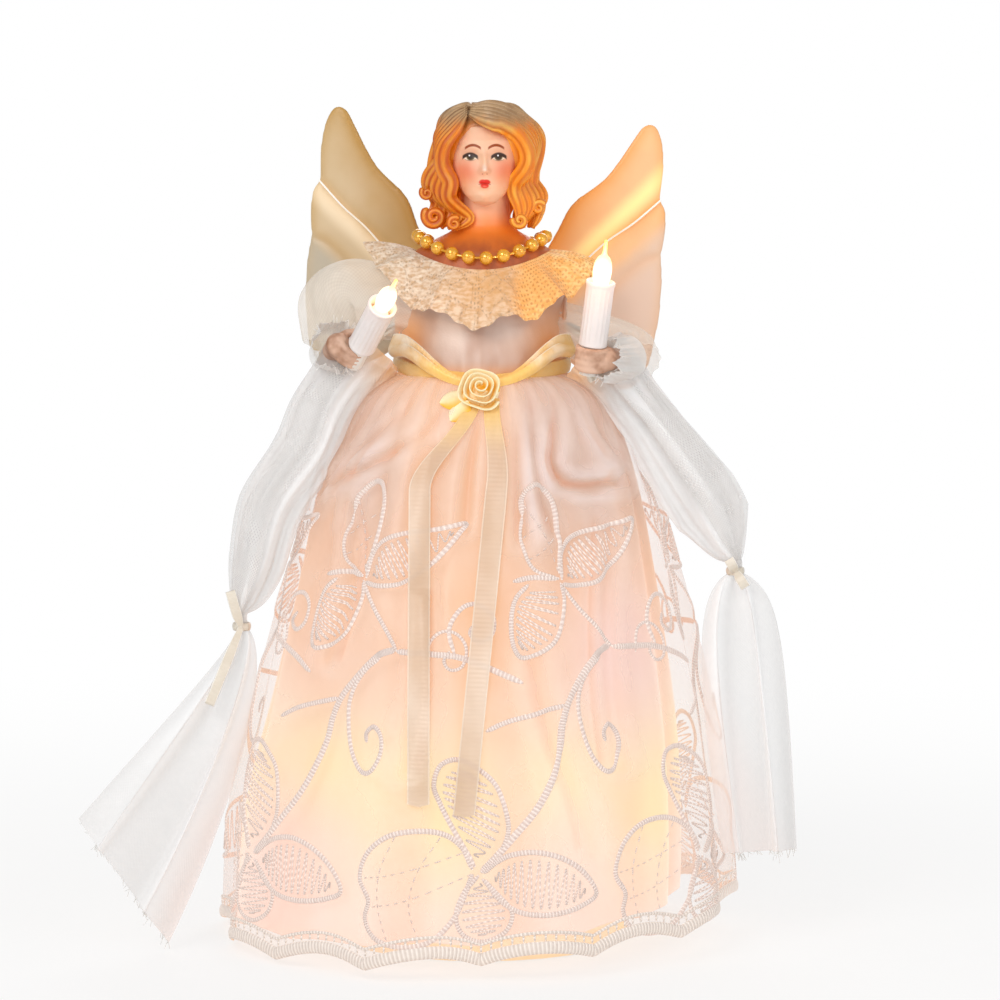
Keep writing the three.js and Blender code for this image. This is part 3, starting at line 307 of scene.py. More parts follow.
aim = Vector((0, 0, 130)) * mm
for name, place, watts, size in (
    ("key_lamp", (-520, -900, 820), 5.6, 0.7),
    ("fill_lamp", (760, -700, 380), 2.2, 0.9),
    ("back_lamp", (150, 900, 700), 4.0, 0.8),
    ("left_glint", (-260, -800, 560), 0.5, 0.09),
    ("right_glint", (320, -800, 560), 0.5, 0.09),
):
    lamp = placed(name, bpy.data.lights.new(name, "AREA"))
    lamp.data.energy, lamp.data.size = watts, size
    lamp.location = Vector(place) * mm
    lamp.rotation_euler = (aim - lamp.location).to_track_quat("-Z", "Y").to_euler()
for name, place, watts in (("left_candle_light", (-23, -48, 198), 0.006),
                           ("right_candle_light", (36, -37, 207), 0.009)):
    lamp = placed(name, bpy.data.lights.new(name, "POINT"))
    lamp.data.energy, lamp.data.shadow_soft_size = watts, 0.004
    lamp.data.color = (1.0, 0.5, 0.16)
    lamp.location = Vector(place) * mm

# ---------------------------------------------------------------- body cone and lamp holders
# A thin moulded cone of frosted plastic with eight white push-in lamp holders, the sleeved
# wires that join them, and the turned wooden block that carries the shoulders.
def uneven(name, base, roughness, tones, clouds, gloss=None, bump=None, **values):
    """A finish in clouds of two close colours. gloss holds a noise's scale and detail, its
    share of the roughness and the least roughness; bump its scale, detail, depth, strength."""
    made = Finish(name, base, roughness, **values)
    made.set(base_color=made.blend(made.noise(*clouds), *tones))
    if gloss:
        made.set(roughness=made.noise(*gloss[:2]) * gloss[2] + gloss[3])
    if bump:
        made.raised(made.noise(*bump[:2]), *bump[2:])
    return made


frosted = uneven("frosted_plastic", "F1E4CF", 0.45, ("EAD9BE", "F6EBDA"), (260, 4),
                 (260, 4, 0.25, 0.35), (900, 3, 0.12, 0.5), coat_weight=0.1)
# Painted glow of the lamps inside: a pale emission, more orange towards the top.
frosted.set(emission_color=frosted.blend(frosted.z.clear_of(0.0, 0.16), "FFE2B0", "E9B57C"),
            emission_strength=0.25)
moulded = uneven("white_plastic", "F1EEE8", 0.35, ("EFEBE3", "F6F4F0"), (120,),
                 (420, 3, 0.2, 0.25), (1500, 2, 0.05, 0.4))
sleeved = uneven("wire_sleeve", "E5E0D2", 0.55, ("DDD6C4", "F0ECE1"), (600,),
                 bump=(2400, 2, 0.06, 0.6))
steel = uneven("steel_wire", "B9B8B4", 0.35, ("A6A49E", "C8C7C3"), (300,),
               (700, 3, 0.3, 0.25), metallic=0.9)
turned_wood = Finish("block_wood", "D8B98A", 0.65)
grain = turned_wood.noise(110, 5, (1, 1, 0.12))
turned_wood.set(base_color=turned_wood.blend(grain.clear_of(0.35, 0.65), "C79F69", "E3C799"),
                roughness=grain * 0.3 + 0.5)
turned_wood.raised(grain, 0.2, 0.5)
glowing_glass = Finish("lamp_glass", "FFF1CC", 0.08, coat_weight=0.6)
glowing_glass.set(emission_color=glowing_glass.blend(glowing_glass.noise(90), "FFE0A0", "FFF6DC"),
                  emission_strength=1.0)


def coat(finish, *names):
    """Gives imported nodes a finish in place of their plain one."""
    for name in names:
        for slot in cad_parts[name].material_slots:
            slot.material = finish.material


numbers = range(1, 9)
coat(frosted, "body_cone")
coat(moulded, *[f"lamp_socket_{i}" for i in numbers], "wing_bracket",
     "left_candle_socket", "right_candle_socket")
coat(sleeved, "light_string", "left_candle_lead", "right_candle_lead")
coat(turned_wood, "shoulder_block")
coat(steel, "left_arm_wire", "right_arm_wire")
coat(glowing_glass, *[f"lamp_bulb_{i}" for i in numbers])

# ---------------------------------------------------------------- underskirt
# A plain skirt of thin satin, gathered into the waist, that the lamps shine through; their
# glow is painted into its emission colour, with painted shade and highlights on its folds.
skirt_top = 171.2
row_power = 1.12


def ease(share):
    s = np.clip(share, 0, 1)
    return s * s * (3 - 2 * s)


def mix(first, second, share):
    return first + (second - first) * share


def bell(waist, hem, foot, height):
    """Radius of a full skirt: it widens fast below the waist, then runs straight down."""
    drop = np.clip((skirt_top - height) / (skirt_top - foot), 0, 1)
    return mix(waist, hem, mix(1 - (1 - drop) ** 2.6, drop, 0.1))


def through(points, steps):
    """A smooth line through the points, each stretch a cubic with its neighbours' slope."""
    p = np.asarray(points, float)
    p = np.vstack([2 * p[0] - p[1], p, 2 * p[-1] - p[-2]])
    t = np.linspace(0, len(p) - 3, steps)
    i = np.minimum(t.astype(int), len(p) - 4)
    f = (t - i)[:, None]
    a, b, c, d = p[i], p[i + 1], p[i + 2], p[i + 3]
    return b + f / 2 * ((c - a) + f * ((2 * a - 5 * b + 4 * c - d) + f * (3 * (b - c) + d - a)))


def distance_to(line, places):
    """The shortest distance from each place to a broken line, all in one plane."""
    start, end = line[:-1], line[1:]
    way = end - start
    share = np.clip(((places[..., None, :] - start) * way).sum(-1) / (way**2).sum(-1), 0, 1)
    near = start + way * share[..., None]
    return np.linalg.norm(places[..., None, :] - near, axis=-1).min(-1)


creases = [
    (0.9, [(19, 168), (15.5, 152), (14, 142), (13.4, 126)]),
    (1.5, [(42, 166), (33, 152), (30.5, 147), (32.5, 142.5), (38, 140.2), (47, 139.6), (62, 141)]),
    (1.0, [(-15, 167), (-27, 156), (-46, 147), (-62, 141)]),
    (1.0, [(-34, 166), (-52, 153), (-68, 138)]),
    (0.8, [(28, 167), (23.5, 153), (22, 138), (25, 128)]),
    (0.7, [(-2, 160), (-5, 146), (-6, 130)]),
    (0.9, [(58, 167), (56, 156), (62, 149)]),
    (0.8, [(-50, 134), (-44, 122), (-43, 106), (-46, 90)]),
    (0.8, [(46, 128), (38, 104), (35, 80), (36, 60)]),
    (0.7, [(14, 92), (18, 70), (24, 50), (27, 36)]),
    (0.7, [(-17, 110), (-15, 86), (-17, 60)]),
]
crease_span = 0.7
creases = [(depth, through(line, 3 * len(line)) * [crease_span, 1]) for depth, line in creases]


def pressed(angle, height):
    """Folds drawn on the front of the skirt: a groove along each line, a ridge beside it."""
    degrees = (np.degrees(angle) + 270) % 360 - 180
    place = np.stack([degrees * crease_span, height + 0 * angle], -1)
    total = 0
    for depth, line in creases:
        away = distance_to(line, place)
        total = total + 1.3 * depth * (0.75 * np.exp(-(((away - 3.4) / 2.1) ** 2))
                                       - np.exp(-((away / 1.4) ** 2)))
    return total


billow = through([(60, 0), (85, 0), (100, 0.6), (115, 1.8), (128, 3.6), (139, 5.2), (148, 6.6),
                  (158, 8.2), (165, 8.2), (169, 5), (171.2, 0), (173, 0)], 120)


def skirt_height(angle, rise, foot, lift, scallop):
    """Height at a share of the skirt's rise, the hem lifted at the right and in scallops."""
    low = np.clip(1 - rise / 0.2, 0, 1)
    raised = lift * (1 + np.cos(angle)) / 2 + scallop * np.abs(np.cos(7 * angle))
    return mix(foot, skirt_top, rise**row_power) + low * raised


def skirt(angle, rise, waist, hem, foot, folds, depth, turn, gathers, lift=0, scallop=0, aside=0):
    """A place on a skirt at an angle and a share of its rise: the bell's radius, two sets of
    folds that grow downwards, a billow at each side of the waist, drawn folds and fine
    gathers that fade below it, a hem lifted in scallops, all hanging a little to the left."""
    height = mix(foot, skirt_top, rise**row_power)
    swell = np.sin(folds * angle + turn) + 0.45 * np.sin((folds + 4) * angle + 2 * turn)
    fine = np.sin(gathers * angle + 3 * np.sin(4 * angle)) * np.exp(-(((1 - rise) / 0.12) ** 2))
    drawn = (np.sin(14 * angle + 1.3 * np.sin(3 * angle)) + 0.7 * np.sin(21 * angle + 2.2)
             + 0.5 * np.sin(8 * angle + 0.4)) * np.exp(-(((rise - 0.84) / 0.24) ** 2))
    press = pressed(angle, height) * ease(7 * (1 - rise))
    out = bell(waist, hem, foot, height) + depth * ease(1.15 - rise) * swell
    out = out + np.interp(height, billow[:, 0], billow[:, 1]) * (0.15 + 0.85 * np.cos(angle) ** 2)
    out = out + 3.2 * np.clip(-np.cos(angle), 0, 1) * ease((76 - height) / 45)
    out = out + 0.16 * fine + 0.75 * drawn * ease(6 * (1 - rise)) + press
    out = out * (1 - aside * (1 - rise) * np.cos(angle))
    shape = spot(out * np.cos(angle), out * np.sin(angle),
                 skirt_height(angle, rise, foot, lift, scallop))
    return shape, swell * ease(1.15 - rise) * 0.7 + 0.35 * drawn + 1.3 * press


across, along = grid(420, 84, closed=True)
places, swell = skirt(2 * np.pi * across, along, waist=24.4, hem=65, foot=6, folds=11, depth=1.5,
                      turn=0.8, gathers=61, lift=6, scallop=1.5, aside=0.1)
underskirt = surface("underskirt_satin", places, closed=True, marks={"fold": swell})


def ring_of(radius, height, *degrees):
    return [(radius * math.cos(math.radians(a)), radius * math.sin(math.radians(a)), height)
            for a in degrees]


lit_satin = Finish("glowing_satin", "C9A68F", 0.38, sheen_weight=0.2)
x, z = lit_satin.x, lit_satin.z
fold = lit_satin.mark("fold")
silk = lit_satin.noise(55, 3, (1, 1, 0.25))
# Painted light: glow round the lamps, more orange higher up and paler pink in patches, painted into
# the emission colour; the base colour is kept dark, and darker higher up, under it.
glow = (lit_satin.near_any(ring_of(60, 47, -103, -31, 41, 113, 185), 23)
        + lit_satin.near_any(ring_of(58, 58, -128, -67, 5, 77, 149, 215), 15) * 0.7)
warm = lit_satin.near_any(ring_of(44, 96, -85, 35, 155), 30)
level = (z + (silk - 0.5) * 0.04).clear_of(0.01, 0.15)
painted_glow_colour = lit_satin.blend(level, "FFDCC8", "F0B27E")
painted_glow_colour = lit_satin.blend((warm * 0.8).at_most(0.9), painted_glow_colour, "FFBC74")
painted_glow_colour = lit_satin.blend((glow * 0.95).at_most(1.0), painted_glow_colour, "FFEA9C")
# At each side of the waist the satin is left out of the painted glow.
high = (z + (silk - 0.5) * 0.03).clear_of(0.105, 0.15)
right_of = x.clear_of(0.006, 0.015)
left_of = (x * -1).clear_of(0.016, 0.034)
unlit = high * (right_of * 0.85 + left_of * 0.7)
cool = lit_satin.near((48, -42, 92), 24) * 0.75 + lit_satin.near((-60, -30, 30), 22) * 0.4
painted_glow_colour = lit_satin.blend(cool.at_most(0.8), painted_glow_colour, "F6D2D4")
# Painted shade in the fold grooves and painted highlights on the fold crests, in the emission
# colour and, at the sides of the waist, in the base colour too.
painted_glow_colour = lit_satin.blend((fold * -0.34 + 0.06).at_least(0.0).at_most(0.8), painted_glow_colour, "F29E60")
painted_fold_highlight = (fold * 0.4 - 0.1).at_least(0.0).at_most(1.0)
groove = (fold * -0.5).at_least(0.0).at_most(0.9)
unlit_glow = lit_satin.blend(painted_fold_highlight, "A67C64", "8E8488")
painted_glow_colour = lit_satin.blend(unlit, painted_glow_colour, lit_satin.blend(groove, unlit_glow, "A0623E"))
base = lit_satin.blend(level, "9E8E88", "7C685E")
base = lit_satin.blend(unlit * (painted_fold_highlight * 0.7 + 0.3), base, "D2C6C4")
base = lit_satin.blend(groove * unlit, base, "A87C66")
lit_satin.set(base_color=base, emission_color=painted_glow_colour, emission_strength=0.76,
              roughness=silk * 0.2 + 0.25)
lit_satin.raised(silk + lit_satin.noise(1500, 2) * 0.12, 0.5, 0.5)
dress(underskirt, lit_satin, "stand", ["underskirt"], wall=0.5)

# ---------------------------------------------------------------- overskirt
# One sheer layer of organza over the satin, its hem cut in scallops.
over = dict(waist=26.2, hem=75, foot=0.4, folds=9, depth=2.4, turn=0.3, gathers=67,
            lift=8, scallop=3.4)
across, along = grid(560, 110, closed=True)
places, swell = skirt(2 * np.pi * across, along, **over)
overskirt = surface("overskirt_organza", places, closed=True, marks={"fold": swell},
                    size=(440, 190))


def over_bell(height):
    return bell(over["waist"], over["hem"], over["foot"], height)


def over_height(angle, rise):
    return skirt_height(angle, rise, over["foot"], over["lift"], over["scallop"])


one_turn = 6.283


def sheer_finish(name, thick, thin, cover, weave=0.9):
    """Organza: a fine square weave, seen through, with cloudy denser places and a faint
    painted glow.
    """
    cloth = Finish(name, thick, 0.55, sheen_weight=0.2)
    pitch = one_turn / weave
    threads = ((cloth.u * pitch).sine() * (cloth.v * pitch).sine()) * 0.5 + 0.5
    cloud = cloth.noise(70, 3)
    cloth.set(base_color=cloth.blend(cloud, thin, thick), emission_color=thin,
              emission_strength=0.03, alpha=(cloud * 0.2 + threads * 0.05 + (cover - 0.125)),
              roughness=cloud * 0.2 + 0.45)
    return cloth.raised(threads, 0.08, 0.5)


organza = sheer_finish("skirt_organza", "FFF6F1", "F8E8E2", 0.26)
gather = (organza.u * 0.45 + organza.noise(26, 2) * 16).wave()
organza.set(alpha=(organza.noise(70, 3) * 0.2 + organza.z.clear_of(0.125, 0.168) * gather * 0.14
                   + organza.mark("fold") * 0.06 + 0.14).at_least(0.06))
dress(overskirt, organza, "stand", ["overskirt"])

# ---------------------------------------------------------------- embroidery
# Corded satin stitch on the organza: leaves, petals and tendrils in six repeats, a band of
# close stitches along the hem, and nets of running stitch inside the petals.


def on_skirt(degrees, height, lift=0.0):
    """Places on the overskirt's outer face, from the angle off the front and the height.
    The rise that has this height is found by halving; lift stands off along the normal."""
    angle = np.radians(np.asarray(degrees, float) - 90)
    low, high = np.zeros_like(angle), np.ones_like(angle)
    for _ in range(22):
        middle = (low + high) / 2
        below = over_height(angle, middle) < height
        low, high = np.where(below, middle, low), np.where(below, high, middle)
    step = 0.004
    here = skirt(angle, low, **over)[0]
    sideways = skirt(angle + step, low, **over)[0] - here
    upwards = skirt(angle, low + step, **over)[0] - here
    normal = unit(np.cross(sideways, upwards))
    return here + normal * np.asarray(lift)[..., None], normal


def unit(vectors):
    """Vectors brought to length 1."""
    vectors = np.asarray(vectors, float)
    return vectors / (np.linalg.norm(vectors, axis=-1, keepdims=True) + 1e-12)


def cord_mesh(path, normal, width, height, sides=5):
    """A half-round thread on a face: across it runs a low arch from edge to edge."""
    beside = unit(np.cross(np.gradient(path, axis=0), normal))
    turn = np.linspace(0, np.pi, sides)
    step = np.arange(len(path))
    taper = np.sqrt(np.clip(np.minimum(step, step[::-1]) / 1.5, 0.15, 1))[:, None, None]
    rib = beside[:, None] * np.cos(turn)[:, None] * width / 2 * taper
    return path[:, None] + rib + normal[:, None] * np.sin(turn)[:, None] * height * taper


class Needlework:
    """Threads gathered into one mesh: places, faces and a map that runs along each thread."""

    def __init__(self):
        self.points, self.faces, self.mapped, self.count = [], [], [], 0

    def add(self, strip, length, closed=False, flip=False):
        if closed:
            strip = np.concatenate([strip, strip[:, :1]], 1)
        if flip:
            strip = strip[:, ::-1]
        rows, columns = strip.shape[:2]
        index = np.arange(rows * columns).reshape(rows, columns) + self.count
        u, v = np.meshgrid(np.linspace(0, 1, columns), np.linspace(0, length, rows))
        self.points.append(strip.reshape(-1, 3))
        self.faces.append(np.stack(cornered(index), -1).reshape(-1, 4))
        self.mapped.append(np.stack(cornered(np.stack([u, v], -1)), -2).reshape(-1, 2))
        self.count += rows * columns

    def stitch(self, points, width, height=0.55, repeats=6, pitch=1.0, gap=None):
        """A line of (degrees, height) sewn on the skirt, repeated evenly round it."""
        rough = through(points, 12 * len(points))
        flat = rough * [0.0175 * over_bell(rough[:, 1].mean()), 1]
        length = np.linalg.norm(np.diff(flat, axis=0), axis=1).sum()
        line = through(points, max(4, int(length / pitch)))
        stretches = [line]
        if gap:
            stretches = np.array_split(line, max(1, int(length / gap)))
            stretches = [stretch[:-1] for stretch in stretches if len(stretch) > 3]
        for stretch in stretches:
            for repeat in range(repeats):
                turned = stretch + [360 / repeats * repeat, 0]
                place, normal = on_skirt(turned[:, 0], turned[:, 1], 0.1)
                self.add(cord_mesh(place, normal, width, height), length / len(stretches))

    def piece(self, name):
        return solid(name, np.vstack(self.points), np.vstack(self.faces), np.vstack(self.mapped))


def zigzag(outline, turns, inset=0.78):
    """A line that crosses back and forth between the two edges of a leaf's outline."""
    edge = through(outline, 2 * turns)
    centre = edge.mean(axis=0)
    edge = centre + (edge - centre) * inset
    return np.stack([edge[:turns], edge[::-1][:turns]], 1).reshape(-1, 2)


petal = [(13.8, 132.6), (14, 137), (16.5, 140.4), (19.5, 141.4), (23, 139.5), (25.4, 135.7),
         (25.9, 129.5), (24.9, 122), (23.5, 115.8)]
petal_side = [(13.8, 132.6), (12.4, 126.8), (13.4, 121.2), (16.2, 117), (22.7, 114.8)]
upper_leaf = [(24, 112.9), (29, 112.2), (35.7, 113), (40.8, 115.9), (46, 119.9), (52.7, 127.5),
              (54.5, 130.2), (44.7, 128.6), (34.1, 127.1), (28.3, 124.9), (25.2, 120.8),
              (24.2, 114)]
lower_leaf = [(23.5, 113.4), (24, 108), (20.7, 98.8), (16, 94.8), (10.7, 92.9), (8.7, 95.4),
              (8.1, 100), (8.5, 105.6), (10, 109.8), (13.5, 113.4)]
bottom_leaf = [(0.6, 31.3), (3.4, 34.5), (7, 37), (12.2, 37.9), (18, 35.8), (23.5, 31),
               (26.9, 24.6), (23.3, 21.8), (17.7, 20.2), (12.4, 19.9), (7.7, 21), (3.8, 24.4),
               (0.9, 29.4)]
bottom_petal = [(0, 31.8), (3.6, 36), (6, 42), (6, 48), (3.6, 56.5), (-1, 61.3), (-5.5, 63.8),
                (-9.6, 62.4), (-11, 56.8), (-9.6, 51.6), (-6.4, 43.6), (-1.4, 33)]
heart = [(-2, 32.2), (-4.6, 38.8), (-9, 42.8), (-15, 43.8), (-21, 41.8), (-26, 36), (-27.4, 29),
         (-24.9, 23.4), (-25.7, 18), (-23.4, 12.8), (-18, 10.6), (-11.5, 11.8), (-6.4, 18),
         (-3.6, 25.6), (-2, 31)]
stem = [(23.7, 112.7), (28.8, 105.9), (33.8, 99.7), (37.9, 94.3)]
main_stem = [(37.4, 94.6), (33.6, 93.4), (31.2, 91.6), (26.1, 86), (21.7, 80), (19.6, 73.8),
             (18.8, 67), (16.3, 59), (12.9, 51), (8.2, 43.4), (3.4, 36), (0, 31.4)]
branch = [(37.9, 94.3), (45, 93.9), (52.4, 93.1), (60.9, 90.2), (70.4, 85.9)]
hook = [(33, 92), (29.3, 88.9), (26.1, 84.2), (24.5, 78.4), (25.3, 70.8), (27.4, 64),
        (30.7, 59.5), (33.8, 60), (36.2, 65.2), (35.8, 70), (33.4, 72.5), (31.3, 70.6),
        (31.6, 67.8)]
side_shoot = [(20.7, 79.3), (14, 77.4), (7, 75), (1.2, 71.8)]
curl = [(52.9, 93.3), (51.2, 100.7), (54.3, 106.4), (59, 107.6), (63.2, 104.4), (63, 99.4),
        (59.6, 97), (57, 99.4), (58.4, 102.2)]
small_curl = [(-14.7, 92), (-13.2, 97.7), (-10, 100.2), (-6.3, 98.9), (-4, 95), (-5, 90.2),
              (-8, 89.2), (-9.7, 91.8), (-8.4, 94.6)]
round_leaf = [(-0.5, 30.6), (-4, 25.6), (-5.8, 19), (-4.2, 13.4), (0.4, 11.4), (5.3, 14.6),
              (6.9, 20.4), (3.8, 25.4), (0.2, 29.6)]

needlework = Needlework()
for line, width in (
    (petal, 1.7), (petal_side, 1.1), (upper_leaf, 1.5), (lower_leaf, 1.4), (bottom_leaf, 1.6),
    (bottom_petal, 1.5), (heart, 1.6), (stem, 1.3), (main_stem, 2.1), (branch, 1.8),
    (hook, 1.5), (side_shoot, 1.5), (curl, 1.4), (small_curl, 1.0), (round_leaf, 1.4),
    ([(9.2, 114.2), (15, 115.3), (23.2, 114.6)], 1.6),
):
    needlework.stitch(line, width, 0.45)
for line, turns in ((upper_leaf, 13), (lower_leaf, 11), (bottom_leaf, 14), (bottom_petal, 12),
                    (round_leaf, 9)):
    needlework.stitch(zigzag(line, turns), 0.5, 0.3, pitch=0.8)
for line in (
    [(14.3, 136), (18.1, 129.5), (21.2, 123.5), (23.3, 116)],
    [(22.3, 132), (17, 129), (12.8, 125.7)], [(22.8, 126), (18, 122.4), (13.6, 120)],
    [(-2, 31), (-9.2, 27.4), (-17.2, 23.5), (-24.2, 21.4)],
    [(-9.3, 42), (-13.9, 32.4), (-15.6, 22.2), (-13.6, 12.1)],
    [(-18.8, 42.6), (-22.2, 31.7), (-22.4, 21.6), (-20.1, 11.6)],
    [(-4.4, 37), (-12, 34), (-20, 31), (-26.6, 29.4)],
):
    needlework.stitch(line, 0.5, 0.3, pitch=0.6, gap=2.6)

angles = np.linspace(-180, 180, 721)
turns = np.radians(angles - 90)
edge = over_height(turns, 0)
band = Needlework()
for above, width, height in ((1.8, 3.7, 0.8), (6.2, 1.0, 0.45)):
    place, normal = on_skirt(angles, edge + above, 0.15)
    band.add(cord_mesh(place, normal, width, height, 7), 470)
bars = np.linspace(-180, 180, 157)[:-1]
foot = np.interp(bars, angles, edge)
lines = np.stack([np.stack([bars, foot + rise], -1) for rise in (3.8, 4.6, 5.4, 6.2)], 1)
for line in lines:
    place, normal = on_skirt(line[:, 0], line[:, 1], 0.12)
    band.add(cord_mesh(place, normal, 0.9, 0.4, 4), 2.4)


def thread_finish(name, light, dark, pitch):
    """Glossy thread in close stitches: ridges across the cord with painted shade between them,
    the threads at the back painted lighter, and a painted glow.
    """
    thread = Finish(name, light, 0.45, sheen_weight=0.2)
    # Threads on the back half are painted lighter and given more painted glow.
    behind = thread.y.clear_of(-0.03, 0.01)
    ridge = (thread.v * (one_turn / pitch) + thread.u * 1.4).wave()
    fuzz = thread.noise(900, 2)
    stitch_tone_and_painted_light = (ridge * 0.6 + fuzz * 0.5 + behind * 0.25).at_most(1.0)
    thread.set(base_color=thread.blend(stitch_tone_and_painted_light, dark, light),
               emission_color=thread.blend(behind, "9C908A", "AC9A92"),
               emission_strength=0.6, roughness=fuzz * 0.3 + 0.35)
    return thread.raised(ridge + fuzz * 0.2, 0.3, 0.8)


cord_thread = thread_finish("embroidery_thread", "F2E4DC", "C0A498", 0.9)
band_thread = thread_finish("hem_thread", "F0E8E0", "BCAEA2", 1.1)
embroidery = dress(needlework.piece("embroidery"), cord_thread, "stand")
hem_band = dress(band.piece("hem_band"), band_thread, "stand")

# ---------------------------------------------------------------- bodice
# A fitted shell of the same satin, eased over the shoulder block, with a bound armhole on
# each side.
bodice_foot, bodice_height = 172, 30
armhole_height, armhole_radius = 187, 8.6


def bodice_at(angle, rise):
    """An oval ring that narrows upwards, with soft creases that run round the waist."""
    shares = (0, 0.5, 0.72, 1)
    wide = np.interp(rise, shares, (25, 25.6, 25.6, 24.2))
    deep = np.interp(rise, shares, (23, 20.4, 20.4, 18.6))
    crease = 0.35 * np.sin(3 * angle + 9 * rise) * np.sin(np.pi * rise)
    crease += 0.22 * np.sin(23 * angle + 2 * np.sin(4 * angle)) * np.exp(-((rise / 0.22) ** 2))
    return spot((wide + crease) * np.cos(angle), (deep + crease) * np.sin(angle),
                bodice_foot + bodice_height * rise)


across, along = grid(260, 60, closed=True)
places = bodice_at(2 * np.pi * across, along)
x, y, z = np.moveaxis(places, -1, 0)
away = np.hypot(y, z - armhole_height)
at_side = (np.abs(x) > 18) & (away < armhole_radius)
pull = np.where(at_side, np.clip(armhole_radius / np.maximum(away, 1e-6), 1, None), 1)
places = spot(x, y * pull, armhole_height + (z - armhole_height) * pull)
bodice = surface("bodice_satin", places, closed=True, size=(150, 30))
with reworked(bodice.data) as work:
    middles = [(face, face.calc_center_median() / mm) for face in work.faces]
    bmesh.ops.delete(work, context="FACES", geom=[
        face for face, middle in middles if abs(middle.x) > 18
        and math.hypot(middle.y, middle.z - armhole_height) < armhole_radius - 0.2])
pale_satin = Finish("ivory_satin", "EBD6CB", 0.34, sheen_weight=0.25)
silk = pale_satin.noise(60, 3, (1, 1, 0.6))
# Painted warm glow near the hands' candles and along the waist, in the base colour and the
# emission; the satin also glows faintly all over.
painted_glow_on_bodice = (pale_satin.near((27, -17, 181), 11) + pale_satin.near((-25, -14, 183), 8)
          + (0.1765 - pale_satin.z).clear_of(0.0, 0.006) * 0.6).at_most(1.0)
pale_satin.set(
    base_color=pale_satin.blend(painted_glow_on_bodice, pale_satin.blend(
        silk.clear_of(0.3, 0.7), "BC9A88", "DDCCC2"), "E0A05C"),
    emission_color=pale_satin.blend(painted_glow_on_bodice, "2A201C", "8C5220"),
    emission_strength=0.5, roughness=silk * 0.2 + 0.25)
pale_satin.raised(silk + pale_satin.noise(1400, 2) * 0.15, 0.5, 0.5)
dress(bodice, pale_satin, "stand", ["bodice"], wall=0.5)


def tube(path, radius, sides=12, across=(0, 0, 1), flatness=1.0, close=False):
    """Rings along a path: the radius may vary along it and round it. across is a direction
    that no stretch of the path runs along; flatness squeezes the ring towards it."""
    path = np.asarray(path, float)
    way = unit(np.gradient(path, axis=0))
    second = unit(np.cross(np.asarray(across, float), way))
    first = np.cross(second, way)
    turn = 2 * np.pi * np.arange(sides) / sides
    radius = np.asarray(radius, float)
    radius = np.broadcast_to(radius.reshape(len(path) if radius.ndim else 1, -1),
                             (len(path), sides))
    rings = (path[:, None] + first[:, None] * (radius * np.cos(turn) * flatness)[..., None]
             + second[:, None] * (radius * np.sin(turn))[..., None])
    if close:
        ends = [np.broadcast_to(path[end], (1, sides, 3)) for end in (0, -1)]
        rings = np.concatenate([ends[0], rings, ends[1]])
    return rings


round_turn = np.linspace(0, 2 * np.pi, 49)[:-1]
for side, name in ((-1, "left"), (1, "right")):
    forward, upward = armhole_radius * np.cos(round_turn), armhole_radius * np.sin(round_turn)
    path = spot(side * (25.4 - 0.011 * forward**2), forward, armhole_height + upward)
    loop = np.vstack([path[-1:], path, path[:1]])
    binding = surface(f"{name}_armhole_binding", tube(loop, 0.55, 8, (side, 0.01, 0))[1:-1],
                      closed=True, looped=True)
    dress(binding, pale_satin, "stand")

# ---------------------------------------------------------------- sash, bow and ribbon tails
# Narrow satin ribbon: round the waist, tied in a flat bow, with two long tails that lie on
# the skirt. A thread of thicker weave runs along each edge.
ribbon_weave = 5.2


def selvedge_of(finish):
    return abs(finish.u - 0.5).clear_of(0.42, 0.47)


ribbon = Finish("satin_ribbon", "F3E3BE", 0.34, sheen_weight=0.3)
selvedge = selvedge_of(ribbon)
silk = ribbon.noise(140, 3)
# Painted warm glow, golden, near the rose, the right hand's candle and the lower edge, in the base
# colour and the emission; the ribbon also glows faintly all over.
golden = (ribbon.near((0, -28, 168), 15) + ribbon.near((27, -14, 176), 6) * 0.8
          + (0.1775 - ribbon.z).clear_of(0.0, 0.004) * 0.55)
ribbon.set(base_color=ribbon.blend(golden.at_most(0.85), ribbon.blend(
    selvedge, ribbon.blend(silk.clear_of(0.35, 0.65), "EBC890", "F8EBD6"), "FBF2E0"), "EBBE58"),
    emission_color=ribbon.blend(golden.at_most(1.0), "4A3410", "9A6A14"),
    emission_strength=0.45, roughness=silk * 0.2 + 0.22)
ribbon.raised((ribbon.v * ribbon_weave).sine() * 0.3 + selvedge, 0.15, 0.5)

across, along = grid(160, 9, closed=True)
turn = 2 * np.pi * across
crown = 0.35 * np.sin(np.pi * along)
dip = np.clip(-np.sin(turn), 0, 1) ** 2.5
places = spot((26.35 + crown) * np.cos(turn), (24.05 + crown + 0.9 * dip) * np.sin(turn),
              172.0 + 4.2 * along + 0.25 * np.sin(6 * turn) - 3.8 * dip)
sash = surface("waist_sash_ribbon", places, closed=True, size=(1, 170))
dress(sash, ribbon, "stand", ["waist_sash"], wall=0.4)


